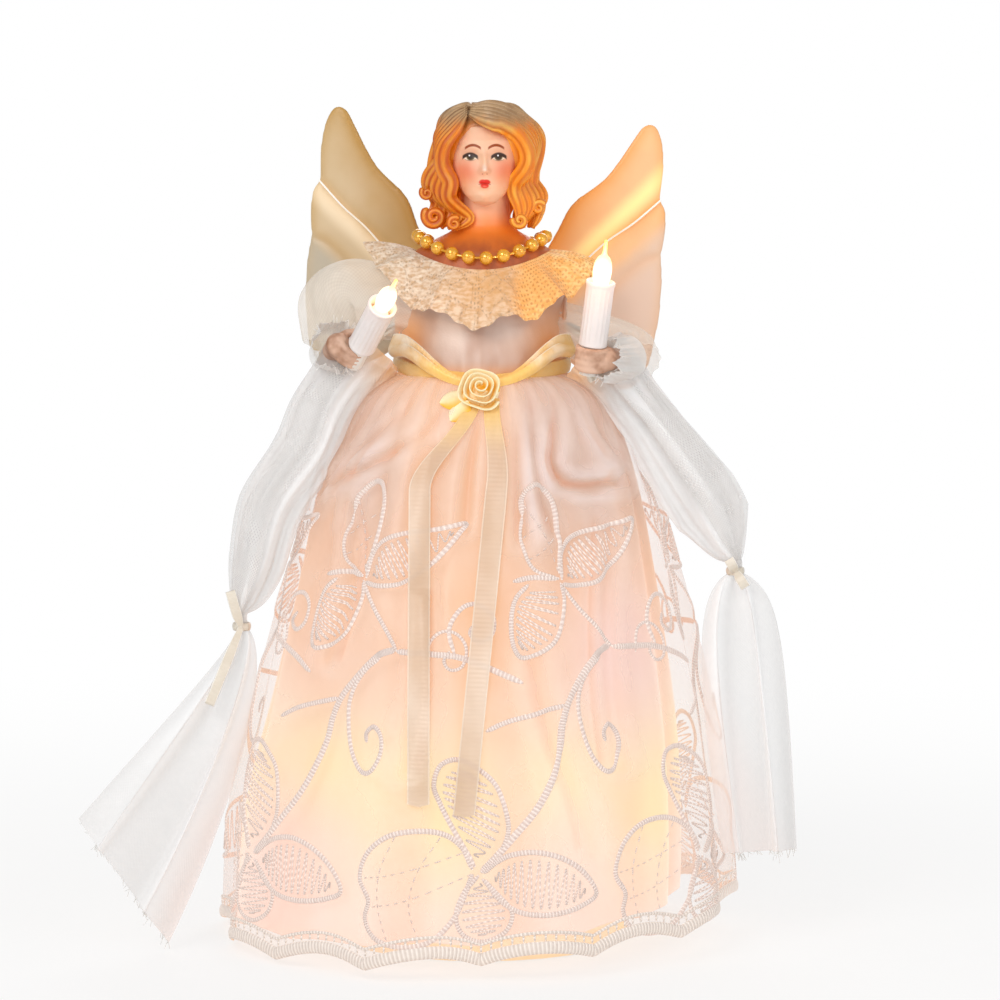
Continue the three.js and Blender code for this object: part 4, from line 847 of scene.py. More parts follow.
def bow_loop(across, along, side):
    """A loop of ribbon from under the rose out and up along the waist, and back under
    itself: narrow at the knot, full and a little drooping at its far end."""
    reach = math.radians(66) * np.sin(np.pi * along) ** 0.8 * side
    out_share = np.sin(np.pi * along)
    stand = 2.6 * ease(1 - along) + 0.5 + 1.6 * out_share * np.sin(np.pi * across)
    width = mix(2.2, 4.9, ease(2.2 * out_share - 0.2))
    twist = 1.5 * np.sin(7 * along + 3 * across) * out_share
    curl = 0.8 * np.sin(9 * along + 2 * across) * out_share
    shift = mix(-1.0, 0.9, ease(1.8 * along - 0.4)) * out_share
    height = mix(169.6, 179.9, ease(1.25 * out_share)) + shift + curl
    front = np.cos(reach) ** 6
    return spot((27 + stand + twist * (across - 0.5)) * np.sin(reach),
                -(24.6 + stand + twist * (across - 0.5) + 1.2 * front) * np.cos(reach),
                height + width * (across - 0.5))


across, along = grid(14, 90)
for side, name in ((-1, "left"), (1, "right")):
    loop = bow_loop(across, along, side)
    piece = surface(f"bow_{name}_loop", loop if side < 0 else loop[:, ::-1], size=(1, 100))
    dress(piece, ribbon, "stand", ["sash_bow"] if side < 0 else [], wall=0.35)


def tail(across, along, start, reach, length, bend):
    """A ribbon tail: down the skirt's front, a little off it, curling a little at its edges."""
    height = 165.6 - (length + 6) * along
    side = -mix(start, reach, bend(along)) + mix(4.6, 6.4, ease(4 * along)) * (across - 0.5)
    degrees = np.degrees(np.arcsin(side / over_bell(height)))
    rest = on_skirt(degrees, height)[0]
    curl = 0.9 * np.sin(14 * along) * (across - 0.5) * ease(4 * along)
    out = np.hypot(rest[..., 0], rest[..., 1]) + 0.4 + 1.3 * ease(6 * along) + curl
    cut = 1.6 * np.abs(across - 0.5) * (along > 0.99)
    return spot(side, -np.sqrt(out**2 - side**2), height + cut)


sheer_ribbon = Finish("sheer_ribbon", "E9D2BC", 0.4, sheen_weight=0.3)
selvedge = selvedge_of(sheer_ribbon)
golden = sheer_ribbon.z.clear_of(0.148, 0.163)
shine = sheer_ribbon.noise(38, 3, (1, 1, 0.5)).clear_of(0.35, 0.65)
# The tails glow faintly all over: a painted glow in emission.
sheer_ribbon.set(base_color=sheer_ribbon.blend(golden, sheer_ribbon.blend(
    selvedge * 0.6, sheer_ribbon.blend(shine, "D6B99E", "EEDCCA"), "EFE2D2"), "EBC57C"),
    emission_color="5E4028", emission_strength=0.42,
    alpha=(selvedge * 0.1 + golden * 0.1 + 0.86), roughness=sheer_ribbon.noise(200) * 0.2 + 0.3)
sheer_ribbon.raised((sheer_ribbon.v * ribbon_weave).sine() * 0.3 + selvedge, 0.15, 0.5)
across, along = grid(9, 150)
for name, values in (
    ("left", (2.5, 18, 108.6, lambda v: ease(4.4 * v))),
    ("right", (-3, 5, 112.1, lambda v: v - 0.5 * ease(5 * v) * (1 - v))),
):
    places = tail(across, along, *values)
    piece = surface(f"{name}_tail_ribbon", places[:, ::-1], size=(1, 110))
    dress(piece, sheer_ribbon, "stand", [f"{name}_ribbon_tail"])

# ---------------------------------------------------------------- ribbon rose
# Satin ribbon wound on itself in a squarish spiral, with two folded leaves at its left, glued
# on the skirt's slope below the bow's knot.
rose_tilt = math.radians(30)
rose_height = 167.2
rose_centre = np.array([-0.4, -float(over_bell(rose_height)) - 0.9, rose_height])


def on_rose(x, y, out):
    """From the rose's own right, up and outward distances to places on the dress."""
    forward = np.array([0, -math.cos(rose_tilt), math.sin(rose_tilt)])
    upward = np.array([0, math.sin(rose_tilt), math.cos(rose_tilt)])
    return (rose_centre + np.multiply.outer(x, [1, 0, 0]) + np.multiply.outer(y, upward)
            + np.multiply.outer(out, forward))


across, along = grid(9, 260)
turn = 2 * np.pi * 3.8 * along + 0.6
corner = 1 + 0.09 * np.cos(4 * (turn - 0.5)) * along
spiral = (0.7 + 5.0 * along**1.05) * corner
lean = mix(0.02, 0.3, along) * 5.2
radius = spiral + lean * across**1.6 - 0.5 * along * (across < 0.2)
rose = surface("rose_spiral", on_rose(
    radius * np.cos(turn), radius * np.sin(turn),
    mix(3.2, 0.4, along) + (2.6 + 1.2 * np.sin(turn * 2.3) * along * 0.25) * across),
    size=(1, 120))
rose_satin = Finish("rose_satin", "F5E6B8", 0.32, sheen_weight=0.3)
# Painted shade: deeper gold towards each turn's inner edge, with a painted warm glow in emission.
deep = 1 - rose_satin.u.clear_of(0.1, 0.75)
rose_satin.set(base_color=rose_satin.blend(deep, rose_satin.blend(
    rose_satin.noise(220), "F8E8B4", "FDF4D4"), "E3AE34"),
    emission_color=rose_satin.blend(deep, "463818", "A87A0C"),
    emission_strength=0.5, roughness=rose_satin.noise(300) * 0.2 + 0.24)
rose_satin.raised((rose_satin.v * 4).sine() * 0.2 + rose_satin.noise(500), 0.12, 0.5)
dress(rose, rose_satin, "stand", ["ribbon_rose"], wall=0.35)
across, along = grid(60, 12, closed=True)
turn = 2 * np.pi * across
radius = 5.8 * along * (1 + 0.06 * np.cos(4 * (turn - 0.5)))
rose_back = surface("rose_back", on_rose(radius * np.cos(turn), radius * np.sin(turn),
                                         0.3 + 1.2 * (1 - along)), closed=True, weld=True)
dress(rose_back, rose_satin, "stand", wall=0.3)
across, along = grid(11, 30)
leaves = ((196, 8.6, (-3.6, -1.6)), (228, 8.2, (-3.2, -3.6)))
for number, (angle, length, place) in enumerate(leaves):
    right, up = math.cos(math.radians(angle)), math.sin(math.radians(angle))
    width = 3.1 * np.sin(np.pi * np.clip(along, 0.02, 0.98)) ** 0.7 * (across - 0.5) * 2
    rise = 1.6 - 1.1 * np.abs(across - 0.5) * 2 * np.sin(np.pi * along) - 0.8 * along
    x = place[0] + length * along * right - width * up
    y = place[1] + length * along * up + width * right
    leaf = surface(f"rose_leaf_{number + 1}", on_rose(x, y, rise)[:, ::-1], size=(1, 12))
    dress(leaf, rose_satin, "stand", wall=0.3)

# ---------------------------------------------------------------- lace collar
# A ruffled ring of cotton lace, deepest in front, on a net ground that shows at its right.
across, along = grid(620, 36, closed=True)


def collar_at(share, fall):
    """From the neck out over the shoulders; ruffles and a scalloped edge grow outwards."""
    turn = 2 * np.pi * share
    front = -np.sin(turn)
    forward = np.clip(front, 0, 1) ** 2
    behind = np.clip(-front, 0, 1) ** 2
    ruffle = (1.9 * fall * mix(1, 0.2, behind)
              * np.sin(12 * turn + 1.1 * np.sin(2 * turn + 1)))
    deep = np.where(front > 0, 27.4, 21.8)
    out = ruffle / 2 + 0.45 * fall**3 * np.sin(31 * turn + 2 * np.sin(14 * turn))
    edge = (198.6 - 11.5 * forward + 3 * behind + 0.7 * fall * np.sin(21 * turn) ** 2
            + 10 * np.clip(-np.cos(turn + 0.1), 0, 1) ** 3
            + 3.5 * np.clip(np.cos(turn), 0, 1) ** 4)
    return spot((mix(20.8, 34.6, fall) + out) * np.cos(turn),
                (mix(19.6, deep, fall) + out * (front > 0)) * np.sin(turn),
                mix(208.4 - 5.4 * front**2, edge, fall) + ruffle + 1.1 * np.sin(np.pi * fall))


collar = surface("lace_collar_ruffle", collar_at(across, along)[::-1], closed=True,
                 size=(200, 16))
lace = Finish("cotton_lace", "F0E0C6", 0.75, sheen_weight=0.2)


def cells(where, scale, randomness, **settings):
    values = {"Vector": where, "Scale": scale, "Randomness": randomness}
    return lace.node("TexVoronoi", values, **settings)


drift = lace.node("TexNoise", {"Vector": lace.flat, "Scale": 0.22, "Detail": 2}, "Color")
warped = lace.node("VectorMath", {0: lace.flat, 1: drift}, "Vector", operation="ADD")
motif = cells(warped, 0.19, 1.0, feature="DISTANCE_TO_EDGE")
petals = cells(warped, 0.55, 1.0)
net = cells(lace.flat, 0.82, 0.3, feature="DISTANCE_TO_EDGE")
on_right = (lace.x + (lace.noise(60) - 0.5) * 0.012).clear_of(0.008, 0.014)
worked = ((motif.clear_of(0.03, 0.12) * 0.9 + petals.clear_of(0.3, 0.7) * 0.35)
          * (1 - on_right * 0.85)).at_most(1.0)
threads = lace.noise(520, 4, (1, 1, 2))
light = threads.clear_of(0.3, 0.7)
holes = (net.clear_of(0.2, 0.34) * (1 - worked)
         + lace.noise(300, 3).clear_of(0.56, 0.66) * worked * 0.45)
tone = lace.blend(on_right, lace.blend(light, "CCAA86", "EEDFCC"),
                  lace.blend(light, "ECAC5C", "FCDC9C"))
amber = (lace.near((2, -24, 200), 13) + lace.near((20, -20, 200), 9)).at_most(1.0)
tone = lace.blend(amber * 0.72, tone, "DCA25C")
# Painted shade in the holes, which are coloured darker, and a painted glow in emission, more orange
# on the net at the right.
lace.set(base_color=lace.blend(holes * 0.5, tone, lace.blend(on_right, "D6B48A", "E8983C")),
         emission_color=lace.blend(on_right, "38281A", "96581C"),
         emission_strength=0.4, alpha=0.96 - holes * 0.3)
lace.raised(worked + threads * 0.4 - holes * 0.7, 0.3, 0.7)
dress(collar, lace, "stand", ["lace_collar"])

# ---------------------------------------------------------------- pearl necklace
# Gold-lacquered glass beads threaded close together, with a lead of thread between them.
count = 23
shares = (np.arange(count) + 0.5) / count


def necklace_at(share):
    turn = 2 * np.pi * share
    return spot(19.3 * np.cos(turn), 18.9 * np.sin(turn), 212.4 - 6 * np.sin(turn) ** 2)


beads = Needlework()
across, along = grid(17, 13)
ball = spot(np.cos(2 * np.pi * across) * np.sin(np.pi * along),
            np.sin(2 * np.pi * across) * np.sin(np.pi * along), -np.cos(np.pi * along))
for place in necklace_at(shares):
    beads.add(place + ball * 2.05, 1)
thread = through(necklace_at(np.linspace(0, 1, 60)), 160)
beads.add(tube(thread, 0.4, 6), 1)
necklace = beads.piece("necklace_beads")
lacquer = uneven("gold_beads", "E3A93A", 0.18, ("DC920E", "F6BC34"), (120,),
                 (500, 2, 0.1, 0.08), (300, 1, 0.04, 0.3), metallic=0.3, coat_weight=1.0)
dress(necklace, lacquer, "stand", ["pearl_necklace"])

# ---------------------------------------------------------------- head and shoulders
# A bisque doll's head on its shoulder plate, fired once and painted by hand.
across, along = grid(180, 200, closed=True)


def face_at(share, rise):
    """The head's skin from under the chin to the crown: half widths by height, and features
    pressed out of the front as rounded swellings."""
    turn = 2 * np.pi * share
    height = 221.6 + 27.4 * (1 - np.cos(np.pi * rise)) / 2
    stops = [221.6, 222.1, 223, 225, 227.5, 230.5, 234, 237, 241, 245, 248, 249]
    wide = np.interp(height, stops, [0, 2.2, 3.9, 6, 7.8, 9.2, 10.2, 10.6, 10.4, 8.8, 4.6, 0])
    deep = np.interp(height, stops, [0, 2.2, 3.9, 6.4, 8.5, 9.9, 10.7, 11, 10.9, 9.4, 4.8, 0])
    middle = np.interp(height, stops, [-10.4, -10.3, -10.2, -8.8, -7.2, -5.8, -4.7, -4, -3.4,
                                       -3, -2.6, -2.4])
    x = wide * np.cos(turn)
    front = np.clip(-np.sin(turn), 0, 1) ** 0.5
    press = 0
    for aside, up, half_width, half_height, out in (
        (0, 232.4, 1.25, 1.3, 2.2), (0, 235.4, 0.95, 2.4, 1.1), (1.1, 231.9, 0.7, 0.7, 0.7),
        (0.7, 229.1, 0.9, 0.55, 0.75), (0, 227.6, 1.3, 0.6, 0.9), (0, 228.35, 2.2, 0.2, -0.35),
        (0, 226.2, 1.8, 0.6, -0.3), (0, 224.2, 2.0, 1.4, 0.8), (4.3, 236.4, 2.1, 1.3, -0.9),
        (4.3, 236.2, 1.4, 0.85, 0.75), (4.2, 239.2, 2.6, 0.8, 0.45), (5.2, 232, 2.6, 2.4, 0.6),
    ):
        for centre in sorted({-aside, aside}):
            press = press + out * front * np.exp(-(((x - centre) / half_width) ** 2)
                                                 - (((height - up) / half_height) ** 2))
    return spot(x + 0.9, middle + deep * np.sin(turn) - press, height)


face = surface("face_bisque", face_at(across, along), closed=True, weld=True)
bisque = Finish("painted_bisque", "F0C2A2", 0.5, subsurface_weight=0.12,
                subsurface_scale=0.002, subsurface_radius=(1, 0.4, 0.25))
x, z = bisque.x, bisque.z
clay = bisque.noise(240, 3)
front = 1 - bisque.y.clear_of(-0.009, -0.006)


def dab(centre, reach, soft=0.35, tilt=0.0):
    """A painted spot on the front: 1 inside an oval of the given half sizes, soft edged."""
    cx, cz = centre[0] * mm, centre[1] * mm
    away = ((x - cx) / (reach[0] * mm)) ** 2.0
    rise = ((z - cz) - (x - cx) * tilt) / (reach[1] * mm)
    return (1 - (away + rise * rise).math("SQRT").clear_of(1 - soft, 1 + soft)) * front


def arch(centre, reach, bend, width):
    """A brush stroke that arches over its centre: half length, bend and half width."""
    side = (x - centre[0] * mm) / (reach * mm)
    line = side * side * (-bend * mm) + centre[1] * mm
    stroke = 1 - (abs(z - line) / (width * mm)).clear_of(0.6, 1.3)
    return stroke * (1 - abs(side).clear_of(0.85, 1.05)) * front


# Painted light and shade on the neck: an orange glow below the chin, and dark brown-red painted
# shade further down by the necklace and the collar.
low = 1 - z.clear_of(0.2135, 0.2235)
skin = bisque.blend(low, bisque.blend(clay, "EEB892", "F4CAAC"), "E27C28")
streak = bisque.noise(150, 3, (1.6, 1, 0.7)).clear_of(0.3, 0.7)
deep = (1 - z.clear_of(0.2075, 0.2165)) * (0.95 - streak * 0.35)
skin = bisque.blend(deep, skin, "7E3A26")
spots = [(dab((-4.9, 231.6), (3.3, 3.2), 0.95) * 0.85, "E87C58"),
         (dab((6.6, 232), (3.1, 3.2), 0.95) * 0.85, "E87C58"),
         (dab((-6.6, 227.6), (3, 3.4), 0.95) * 0.35, "F2A468"),
         (dab((8.2, 228), (3, 3.4), 0.95) * 0.35, "F2A468")]
for eye, look in ((-3.4, 0.1), (5.1, -0.1)):
    spots += [(dab((eye, 236.9), (2.7, 1.7), 0.8) * 0.45, "C98060"),
              (dab((eye, 236.1), (2.0, 0.95), 0.25), "F6E4CA"),
              (dab((eye + look, 236.25), (1.22, 1.1), 0.2), "4C3E10"),
              (dab((eye + look, 236.35), (0.76, 0.76), 0.3), "0C0804"),
              (arch((eye, 237.0), 2.45, 1.1, 0.6), "1C0E06"),
              (arch((eye, 235.1), 1.7, -0.5, 0.13) * 0.6, "9A5838"),
              (arch((eye + look * 8, 239.7), 2.5, 1.05, 0.42), "94400F"),
              # A painted highlight in each eye.
              (dab((eye - 0.25, 236.65), (0.24, 0.24), 0.3), "FFFFFF")]
spots += [(dab((0.25, 228.85), (1.05, 0.72), 0.25, 0.1), "E02A22"),
          (dab((1.55, 228.85), (1.05, 0.72), 0.25, -0.1), "E02A22"),
          (dab((0.9, 227.75), (1.25, 0.78), 0.25), "E63A2C"),
          # A painted highlight on the lower lip.
          (dab((0.9, 227.5), (0.5, 0.2), 0.8) * 0.6, "F48A70"),
          (arch((0.9, 228.3), 1.9, 0.25, 0.1) * 0.8, "A01812"),
          (dab((0.25, 231.2), (0.24, 0.17), 0.5) * 0.7, "B85840"),
          (dab((1.6, 231.2), (0.24, 0.17), 0.5) * 0.7, "B85840"),
          # A painted highlight on the nose.
          (dab((0.9, 233), (0.6, 0.9), 0.9) * 0.6, "FFEFE4")]
for share, paint in spots:
    skin = bisque.blend(share, skin, paint)
# A painted warm glow in emission over all the bisque, strongest on the lower neck.
bisque.set(base_color=skin, roughness=clay * 0.2 + 0.34,
           emission_color=bisque.blend(low, "4A2410", "A84E04"), emission_strength=0.35)
bisque.raised(bisque.noise(1100, 3), 0.06, 0.4)
dress(face, bisque, "stand", ["head_and_shoulders"])

across, along = grid(96, 60, closed=True)


def plate_at(share, rise):
    """Neck and shoulder plate: a turned outline from the plate's foot up to the jaw."""
    turn = 2 * np.pi * share
    stops = [0, 0.25, 0.5, 0.62, 0.7, 0.78, 0.9, 1]
    wide = np.interp(rise, stops, [23.4, 23.3, 20.2, 14.4, 10, 7.4, 6.6, 6.9])
    deep = np.interp(rise, stops, [17.8, 17.6, 15.4, 11.4, 8.8, 7.1, 6.4, 6.8])
    height = np.interp(rise, stops, [193, 200, 207.6, 211, 213.2, 215.6, 221, 227])
    soft = 0.5 * np.sin(2 * turn) * np.sin(np.pi * rise)
    return spot((wide + soft) * np.cos(turn) + 1.2 * rise, deep * np.sin(turn) - 1.6 * rise, height)


shoulders = surface("neck_and_plate", plate_at(across, along), closed=True)
smooth = shoulders.modifiers.new("smooth", "SMOOTH")
smooth.iterations = 6
dress(shoulders, bisque, "stand", wall=1.2)

# ---------------------------------------------------------------- hair
# Moulded in one with the head: locks that fall from a parting at the left, waved and curled
# at the ends, painted golden orange and tan at the crown. Painted shade darkens the grooves
# and the left side, and a painted warm glow lights all but the crown.
across, along = grid(160, 100, closed=True)
crown = np.array([1.5, 0.3, 237.6])


def on_crown(degrees, up, halves=(14.6, 15.0, 14.6)):
    """A place on the hair's oval, from the angle round it and the angle up from its middle."""
    a, b = np.radians(degrees), np.radians(up)
    return crown + spot(np.cos(a) * np.cos(b), np.sin(a) * np.cos(b), np.sin(b)) * halves


def cap_at(share, rise):
    """The hair's shell: an oval, drawn in under the skin where the face looks out."""
    x, y, z = np.moveaxis(on_crown(360 * share, 180 * rise - 90) - crown, -1, 0)
    window = ((x + 0.6) / 9.9) ** 2 + ((z + 5.2) / 12.6) ** 2
    return crown + spot(x, y, z) * np.where(y < 0, 1 - 0.32 * ease(1.35 - window), 1)[..., None]


cap = surface("hair_cap", cap_at(across, along), closed=True, weld=True, size=(1, 60))
painted_hair = Finish("painted_hair", "E39A3C", 0.42)
strand = painted_hair.noise(330, 3, (1, 1, 0.2))
at_crown = (painted_hair.z + (strand - 0.5) * 0.004).clear_of(0.2425, 0.2495)
# Painted shade in the grooves between the strands and on the left side of the hair.
hollow = (painted_hair.u * 31.416 + painted_hair.v * 0.033).wave()
painted_shade_left = (painted_hair.x * -1).clear_of(-0.002, 0.012) * 0.36
deep = ((1 - hollow) * 0.6 + strand.clear_of(0.35, 0.7) * 0.25 + painted_shade_left
        - at_crown * 0.1).at_least(0.0).at_most(1.0)
gold = painted_hair.blend(strand.clear_of(0.35, 0.65), "F29010", "FFC44E")
# A painted warm glow in emission, left out at the crown.
painted_hair.set(base_color=painted_hair.blend(at_crown, painted_hair.blend(deep, gold, "B44C00"),
                                               painted_hair.blend(deep, "CCA97E", "855C34")),
                 emission_color=painted_hair.blend(at_crown, "8A4000", "1C140C"),
                 emission_strength=0.3, roughness=strand * 0.25 + 0.3)
painted_hair.raised(strand, 0.2, 0.5)
dress(cap, painted_hair, "stand")

right_inner = [(-3.6, -10.6, 248.8), (-0.6, -14.4, 247), (3.4, -15.4, 245.9), (7.2, -14.8, 245.4),
               (10.4, -13.2, 242.8), (12.4, -12, 237), (12.8, -11, 232), (11.4, -10.4, 228),
               (9.8, -9.8, 223.6), (9.4, -9, 219), (10.8, -8, 215.4)]
right_outer = [(-3, -6, 251.6), (2.4, -6, 251.9), (8, -5, 250.4), (12.4, -4, 246.8),
               (14.8, -3.4, 242), (15.4, -3, 237), (15.4, -3, 231.6), (15.2, -3, 227.6),
               (16.4, -3, 224), (17, -2.8, 220.6), (14.4, -2.4, 215)]
left_inner = [(-4.6, -10.8, 248.6), (-7.4, -12.6, 245), (-9.8, -12.4, 240.8), (-10.9, -12, 235.8),
              (-11.8, -11, 231.8), (-10, -10.6, 228), (-8.1, -10, 224.4), (-6.2, -9.6, 220.6),
              (-5.6, -9, 217.6), (-7.4, -8, 214.6)]
left_outer = [(-4.6, -6, 251.2), (-8, -5.6, 248.8), (-11, -5, 243.8), (-12.6, -4.6, 239.4),
              (-13, -4.4, 235), (-13.8, -4.2, 231), (-14.6, -4, 227), (-15.4, -3.8, 223),
              (-15.2, -3.6, 219), (-13, -3.4, 215)]
locks = Needlework()
steps = 64
turn = 2 * np.pi * np.arange(32) / 32


def lock(path, radius, wave, phase, sway=(1, 0.6)):
    """A lock of hair: a grooved tube that swells in the middle and waves from side to side,
    the more the further it hangs."""
    line = through(path, steps)
    share = np.linspace(0, 1, steps)
    line[:, 0] += sway[0] * wave * np.sin(16 * share + phase) * share**0.6
    line[:, 1] += sway[1] * wave * np.cos(16 * share + phase) * share**0.6
    swell = radius * np.sqrt(np.clip(np.sin(np.pi * np.clip(share, 0.02, 0.985)), 0, 1))
    long = share[:, None]
    groove = 1 + 0.13 * np.sin(5 * turn + 2 * long) + 0.05 * np.sin(11 * turn + 9 * long)
    ring = tube(line, swell[:, None] * groove, 32, (0, 1, 0.02), 0.8, close=True)
    locks.add(ring, 60, closed=True, flip=True)


for inner, outer, count in ((right_inner, right_outer, 6), (left_inner, left_outer, 5)):
    inner, outer = np.array(inner, float), np.array(outer, float)
    for i, share in enumerate(np.linspace(0, 1, count)):
        lock(mix(inner, outer, share), 2.3, 2.1, 0.35 * i)
for i, angle in enumerate(np.linspace(-14, 194, 15)):
    start = crown + [-4.4, -5 + 11 * math.sin(math.radians(angle)), 0]
    start[2] += 13.6
    fall = [on_crown(angle, up) for up in (62, 38, 12)]
    ends = [on_crown(angle, 0) * [1, 1, 0] + [0, 0, height] for height in (230, 222, 214.8)]
    lock([start, *fall, *ends], 2.5, 1.9, 0.5 * i, (0.8, 0.5))


def ringlet(centre, radius, turns, thick, depth, begin=2.2):
    """A flat curl: a tapering tube wound inwards in front of the locks."""
    share = np.linspace(0, 1, 70)
    turned = 2 * np.pi * turns * share + begin
    out = radius * (1 - 0.82 * share)
    path = spot(centre[0] + out * np.cos(turned), depth - 1.2 * share,
                centre[1] + out * np.sin(turned))
    swell = thick * (1 - 0.45 * share) * np.clip(share * 30, 0.1, 1) ** 0.5
    locks.add(tube(path, swell, 20, (0, 1, 0), close=True), 30, closed=True)


ringlet((-14.2, 218.4), 3.0, 1.7, 1.5, -8.2)
ringlet((-16.4, 225.4), 1.6, 1.3, 1.1, -6.4)
ringlet((17, 221), 1.8, 1.2, 1.3, -6, 0.4)
ringlet((-8.2, 216.4), 1.8, 1.3, 1.2, -10.6, 0.8)
ringlet((11.4, 217.4), 2.0, 1.3, 1.3, -10.4, 2.8)
hair = locks.piece("hair_locks")
dress(hair, painted_hair, "stand")

# ---------------------------------------------------------------- wings
# Three feathers of stuffed satin sewn together in one shaped pad, on a wire at the root.
wing_edges = [
    [(0.064, 0.08), (0.23, 0.385), (0.32, 0.55), (0.52, 0.70), (0.68, 0.925)],
    [(0.68, 0.925), (0.715, 0.972), (0.77, 1.0), (0.825, 0.975), (0.868, 0.91), (0.9, 0.79),
     (0.905, 0.625)],
    [(0.905, 0.625), (0.955, 0.57), (0.972, 0.46), (0.965, 0.348)],
    [(0.965, 0.348), (1, 0.2), (1.01, 0), (0.99, -0.205)],
    [(0.99, -0.205), (0.86, -0.352), (0.54, -0.287), (0.22, -0.14), (0.064, -0.08)],
]
wing_seams = [[(0.905, 0.625), (0.74, 0.49), (0.55, 0.36), (0.3, 0.13)],
              [(0.965, 0.348), (0.82, 0.29), (0.62, 0.12), (0.42, -0.1)]]
span, rise = 46.4, 61.0
grown = 10 * mm


def stuffed_wing(name):
    """A slab cut to the outline, remeshed, and swelled by cloth under pressure while the
    seams are held; worked at ten times its size, its movement capped."""
    lines = [through(edge, 16)[:-1] for edge in wing_edges]
    outline = np.vstack([*lines, wing_edges[-1][-1:]]) * [span, rise]
    gaps = np.linalg.norm(np.diff(np.vstack([outline, outline[:1]]), axis=0), axis=1)
    outline = outline[gaps > 0.05]
    count = len(outline)
    front = np.column_stack([outline[:, 0], np.full(count, -0.95), outline[:, 1]])
    ring = np.arange(count)
    after = (ring + 1) % count
    sides = np.stack([ring, ring + count, after + count, after], -1)
    mesh = bpy.data.meshes.new(name)
    mesh.from_pydata((np.vstack([front, front * [1, -1, 1]]) * grown).tolist(), [],
                     [ring.tolist(), (ring[::-1] + count).tolist(), *sides.tolist()])
    pad = placed(name, mesh)
    shaped = pad.modifiers.new("remesh", "REMESH")
    shaped.mode = "VOXEL"
    shaped.voxel_size = 0.0065
    settle(pad)
    rest = places_of(pad.data)
    flat = rest[:, [0, 2]] / grown
    edge = distance_to(np.vstack([outline, outline[:1]]), flat)
    seams = [through(seam, 40) * [span, rise] for seam in wing_seams]
    seam = np.min([distance_to(line, flat) for line in seams], axis=0)
    pins = pad.vertex_groups.new(name="held")
    pins.add(np.flatnonzero((seam < 0.9) | (edge < 0.7)).tolist(), 1.0, "REPLACE")
    cloth = pad.modifiers.new("cloth", "CLOTH").settings
    cloth.vertex_group_mass = "held"
    cloth.use_pressure = True
    cloth.uniform_pressure_force = 6
    cloth.tension_stiffness = 12
    cloth.effector_weights.gravity = 0
    for step in range(1, 21):
        bpy.context.scene.frame_set(step)
    state = bpy.context.evaluated_depsgraph_get()
    places = places_of(pad.evaluated_get(state).to_mesh())
    bpy.context.scene.frame_set(1)
    pad.modifiers.clear()
    step = places - rest
    far = np.linalg.norm(step, axis=1, keepdims=True) + 1e-9
    places = rest + step * np.minimum(1, 0.022 / far)
    places[:, 1] *= 1 - 0.6 * np.exp(-((seam / 0.9) ** 2))
    pad.data.vertices.foreach_set("co", (places * mm / grown).ravel())
    # The mark for the painted shade in the hollows by the edges and seams.
    hollow = pad.data.attributes.new("hollow", "FLOAT", "POINT")
    sunk = np.exp(-((np.minimum(edge, seam) / 2.6) ** 2))
    hollow.data.foreach_set("value", sunk.astype(np.float32))
    pad.modifiers.new("even", "SMOOTH").iterations = 12
    settle(pad)
    return pad


def wing_place(local, side, tilt):
    """From the wing's own plane to its place: tilt about its front, sweep back, mirror."""
    x, y, z = local[..., 0], local[..., 1], local[..., 2]
    a, b = math.radians(tilt), math.radians(12)
    x, z = x * math.cos(a) + z * math.sin(a), -x * math.sin(a) + z * math.cos(a)
    x, y = x * math.cos(b) - y * math.sin(b), x * math.sin(b) + y * math.cos(b)
    return spot(side * (9 + x), 23.8 + y, 190.5 + z)


def wing_finish(name, face, ridge, inner, low, painted_glow_tint):
    """Padded satin: golden at the root and the inner edge, with golden painted shade in the
    hollows by the seams, painted highlights along the feathers' ridges, a painted glow in
    emission, and the lowest feather veiled in white."""
    satin = Finish(name, face, 0.34, sheen_weight=0.25)
    silk = satin.noise(60, 3)
    hollow = satin.mark("hollow")
    z, out = satin.z, abs(satin.x)
    inward = 1 - (out - (z - 0.2) * 0.42 + (silk - 0.5) * 0.01).clear_of(0.016, 0.036)
    veil = 1 - (z + (0.05 - out) * 0.9 + (silk - 0.5) * 0.006).clear_of(0.205, 0.213)
    # Painted highlight along each feather's ridge.
    crest = 1 - abs((z - 0.205 - (out - 0.03) * 0.95) / 0.007).clear_of(0.0, 1.0)
    tone = satin.blend((silk * 0.5 + crest * 0.7).at_most(1.0), face, ridge)
    tone = satin.blend((inward * 0.75 + hollow * 0.45).at_most(0.95), tone, inner)
    lit = satin.blend(crest, painted_glow_tint, satin.blend(0.5, painted_glow_tint, ridge))
    satin.set(base_color=satin.blend(veil * (0.92 - hollow * 0.3), tone, low),
              emission_color=satin.blend(veil, lit, "1E1A17"),
              emission_strength=0.5, roughness=silk * 0.2 + 0.24)
    return satin.raised(silk + satin.noise(1400, 2) * 0.12, 0.4, 0.5)


seam_thread = thread_finish("seam_thread", "FFFDF6", "F0E2C0", 1.0)
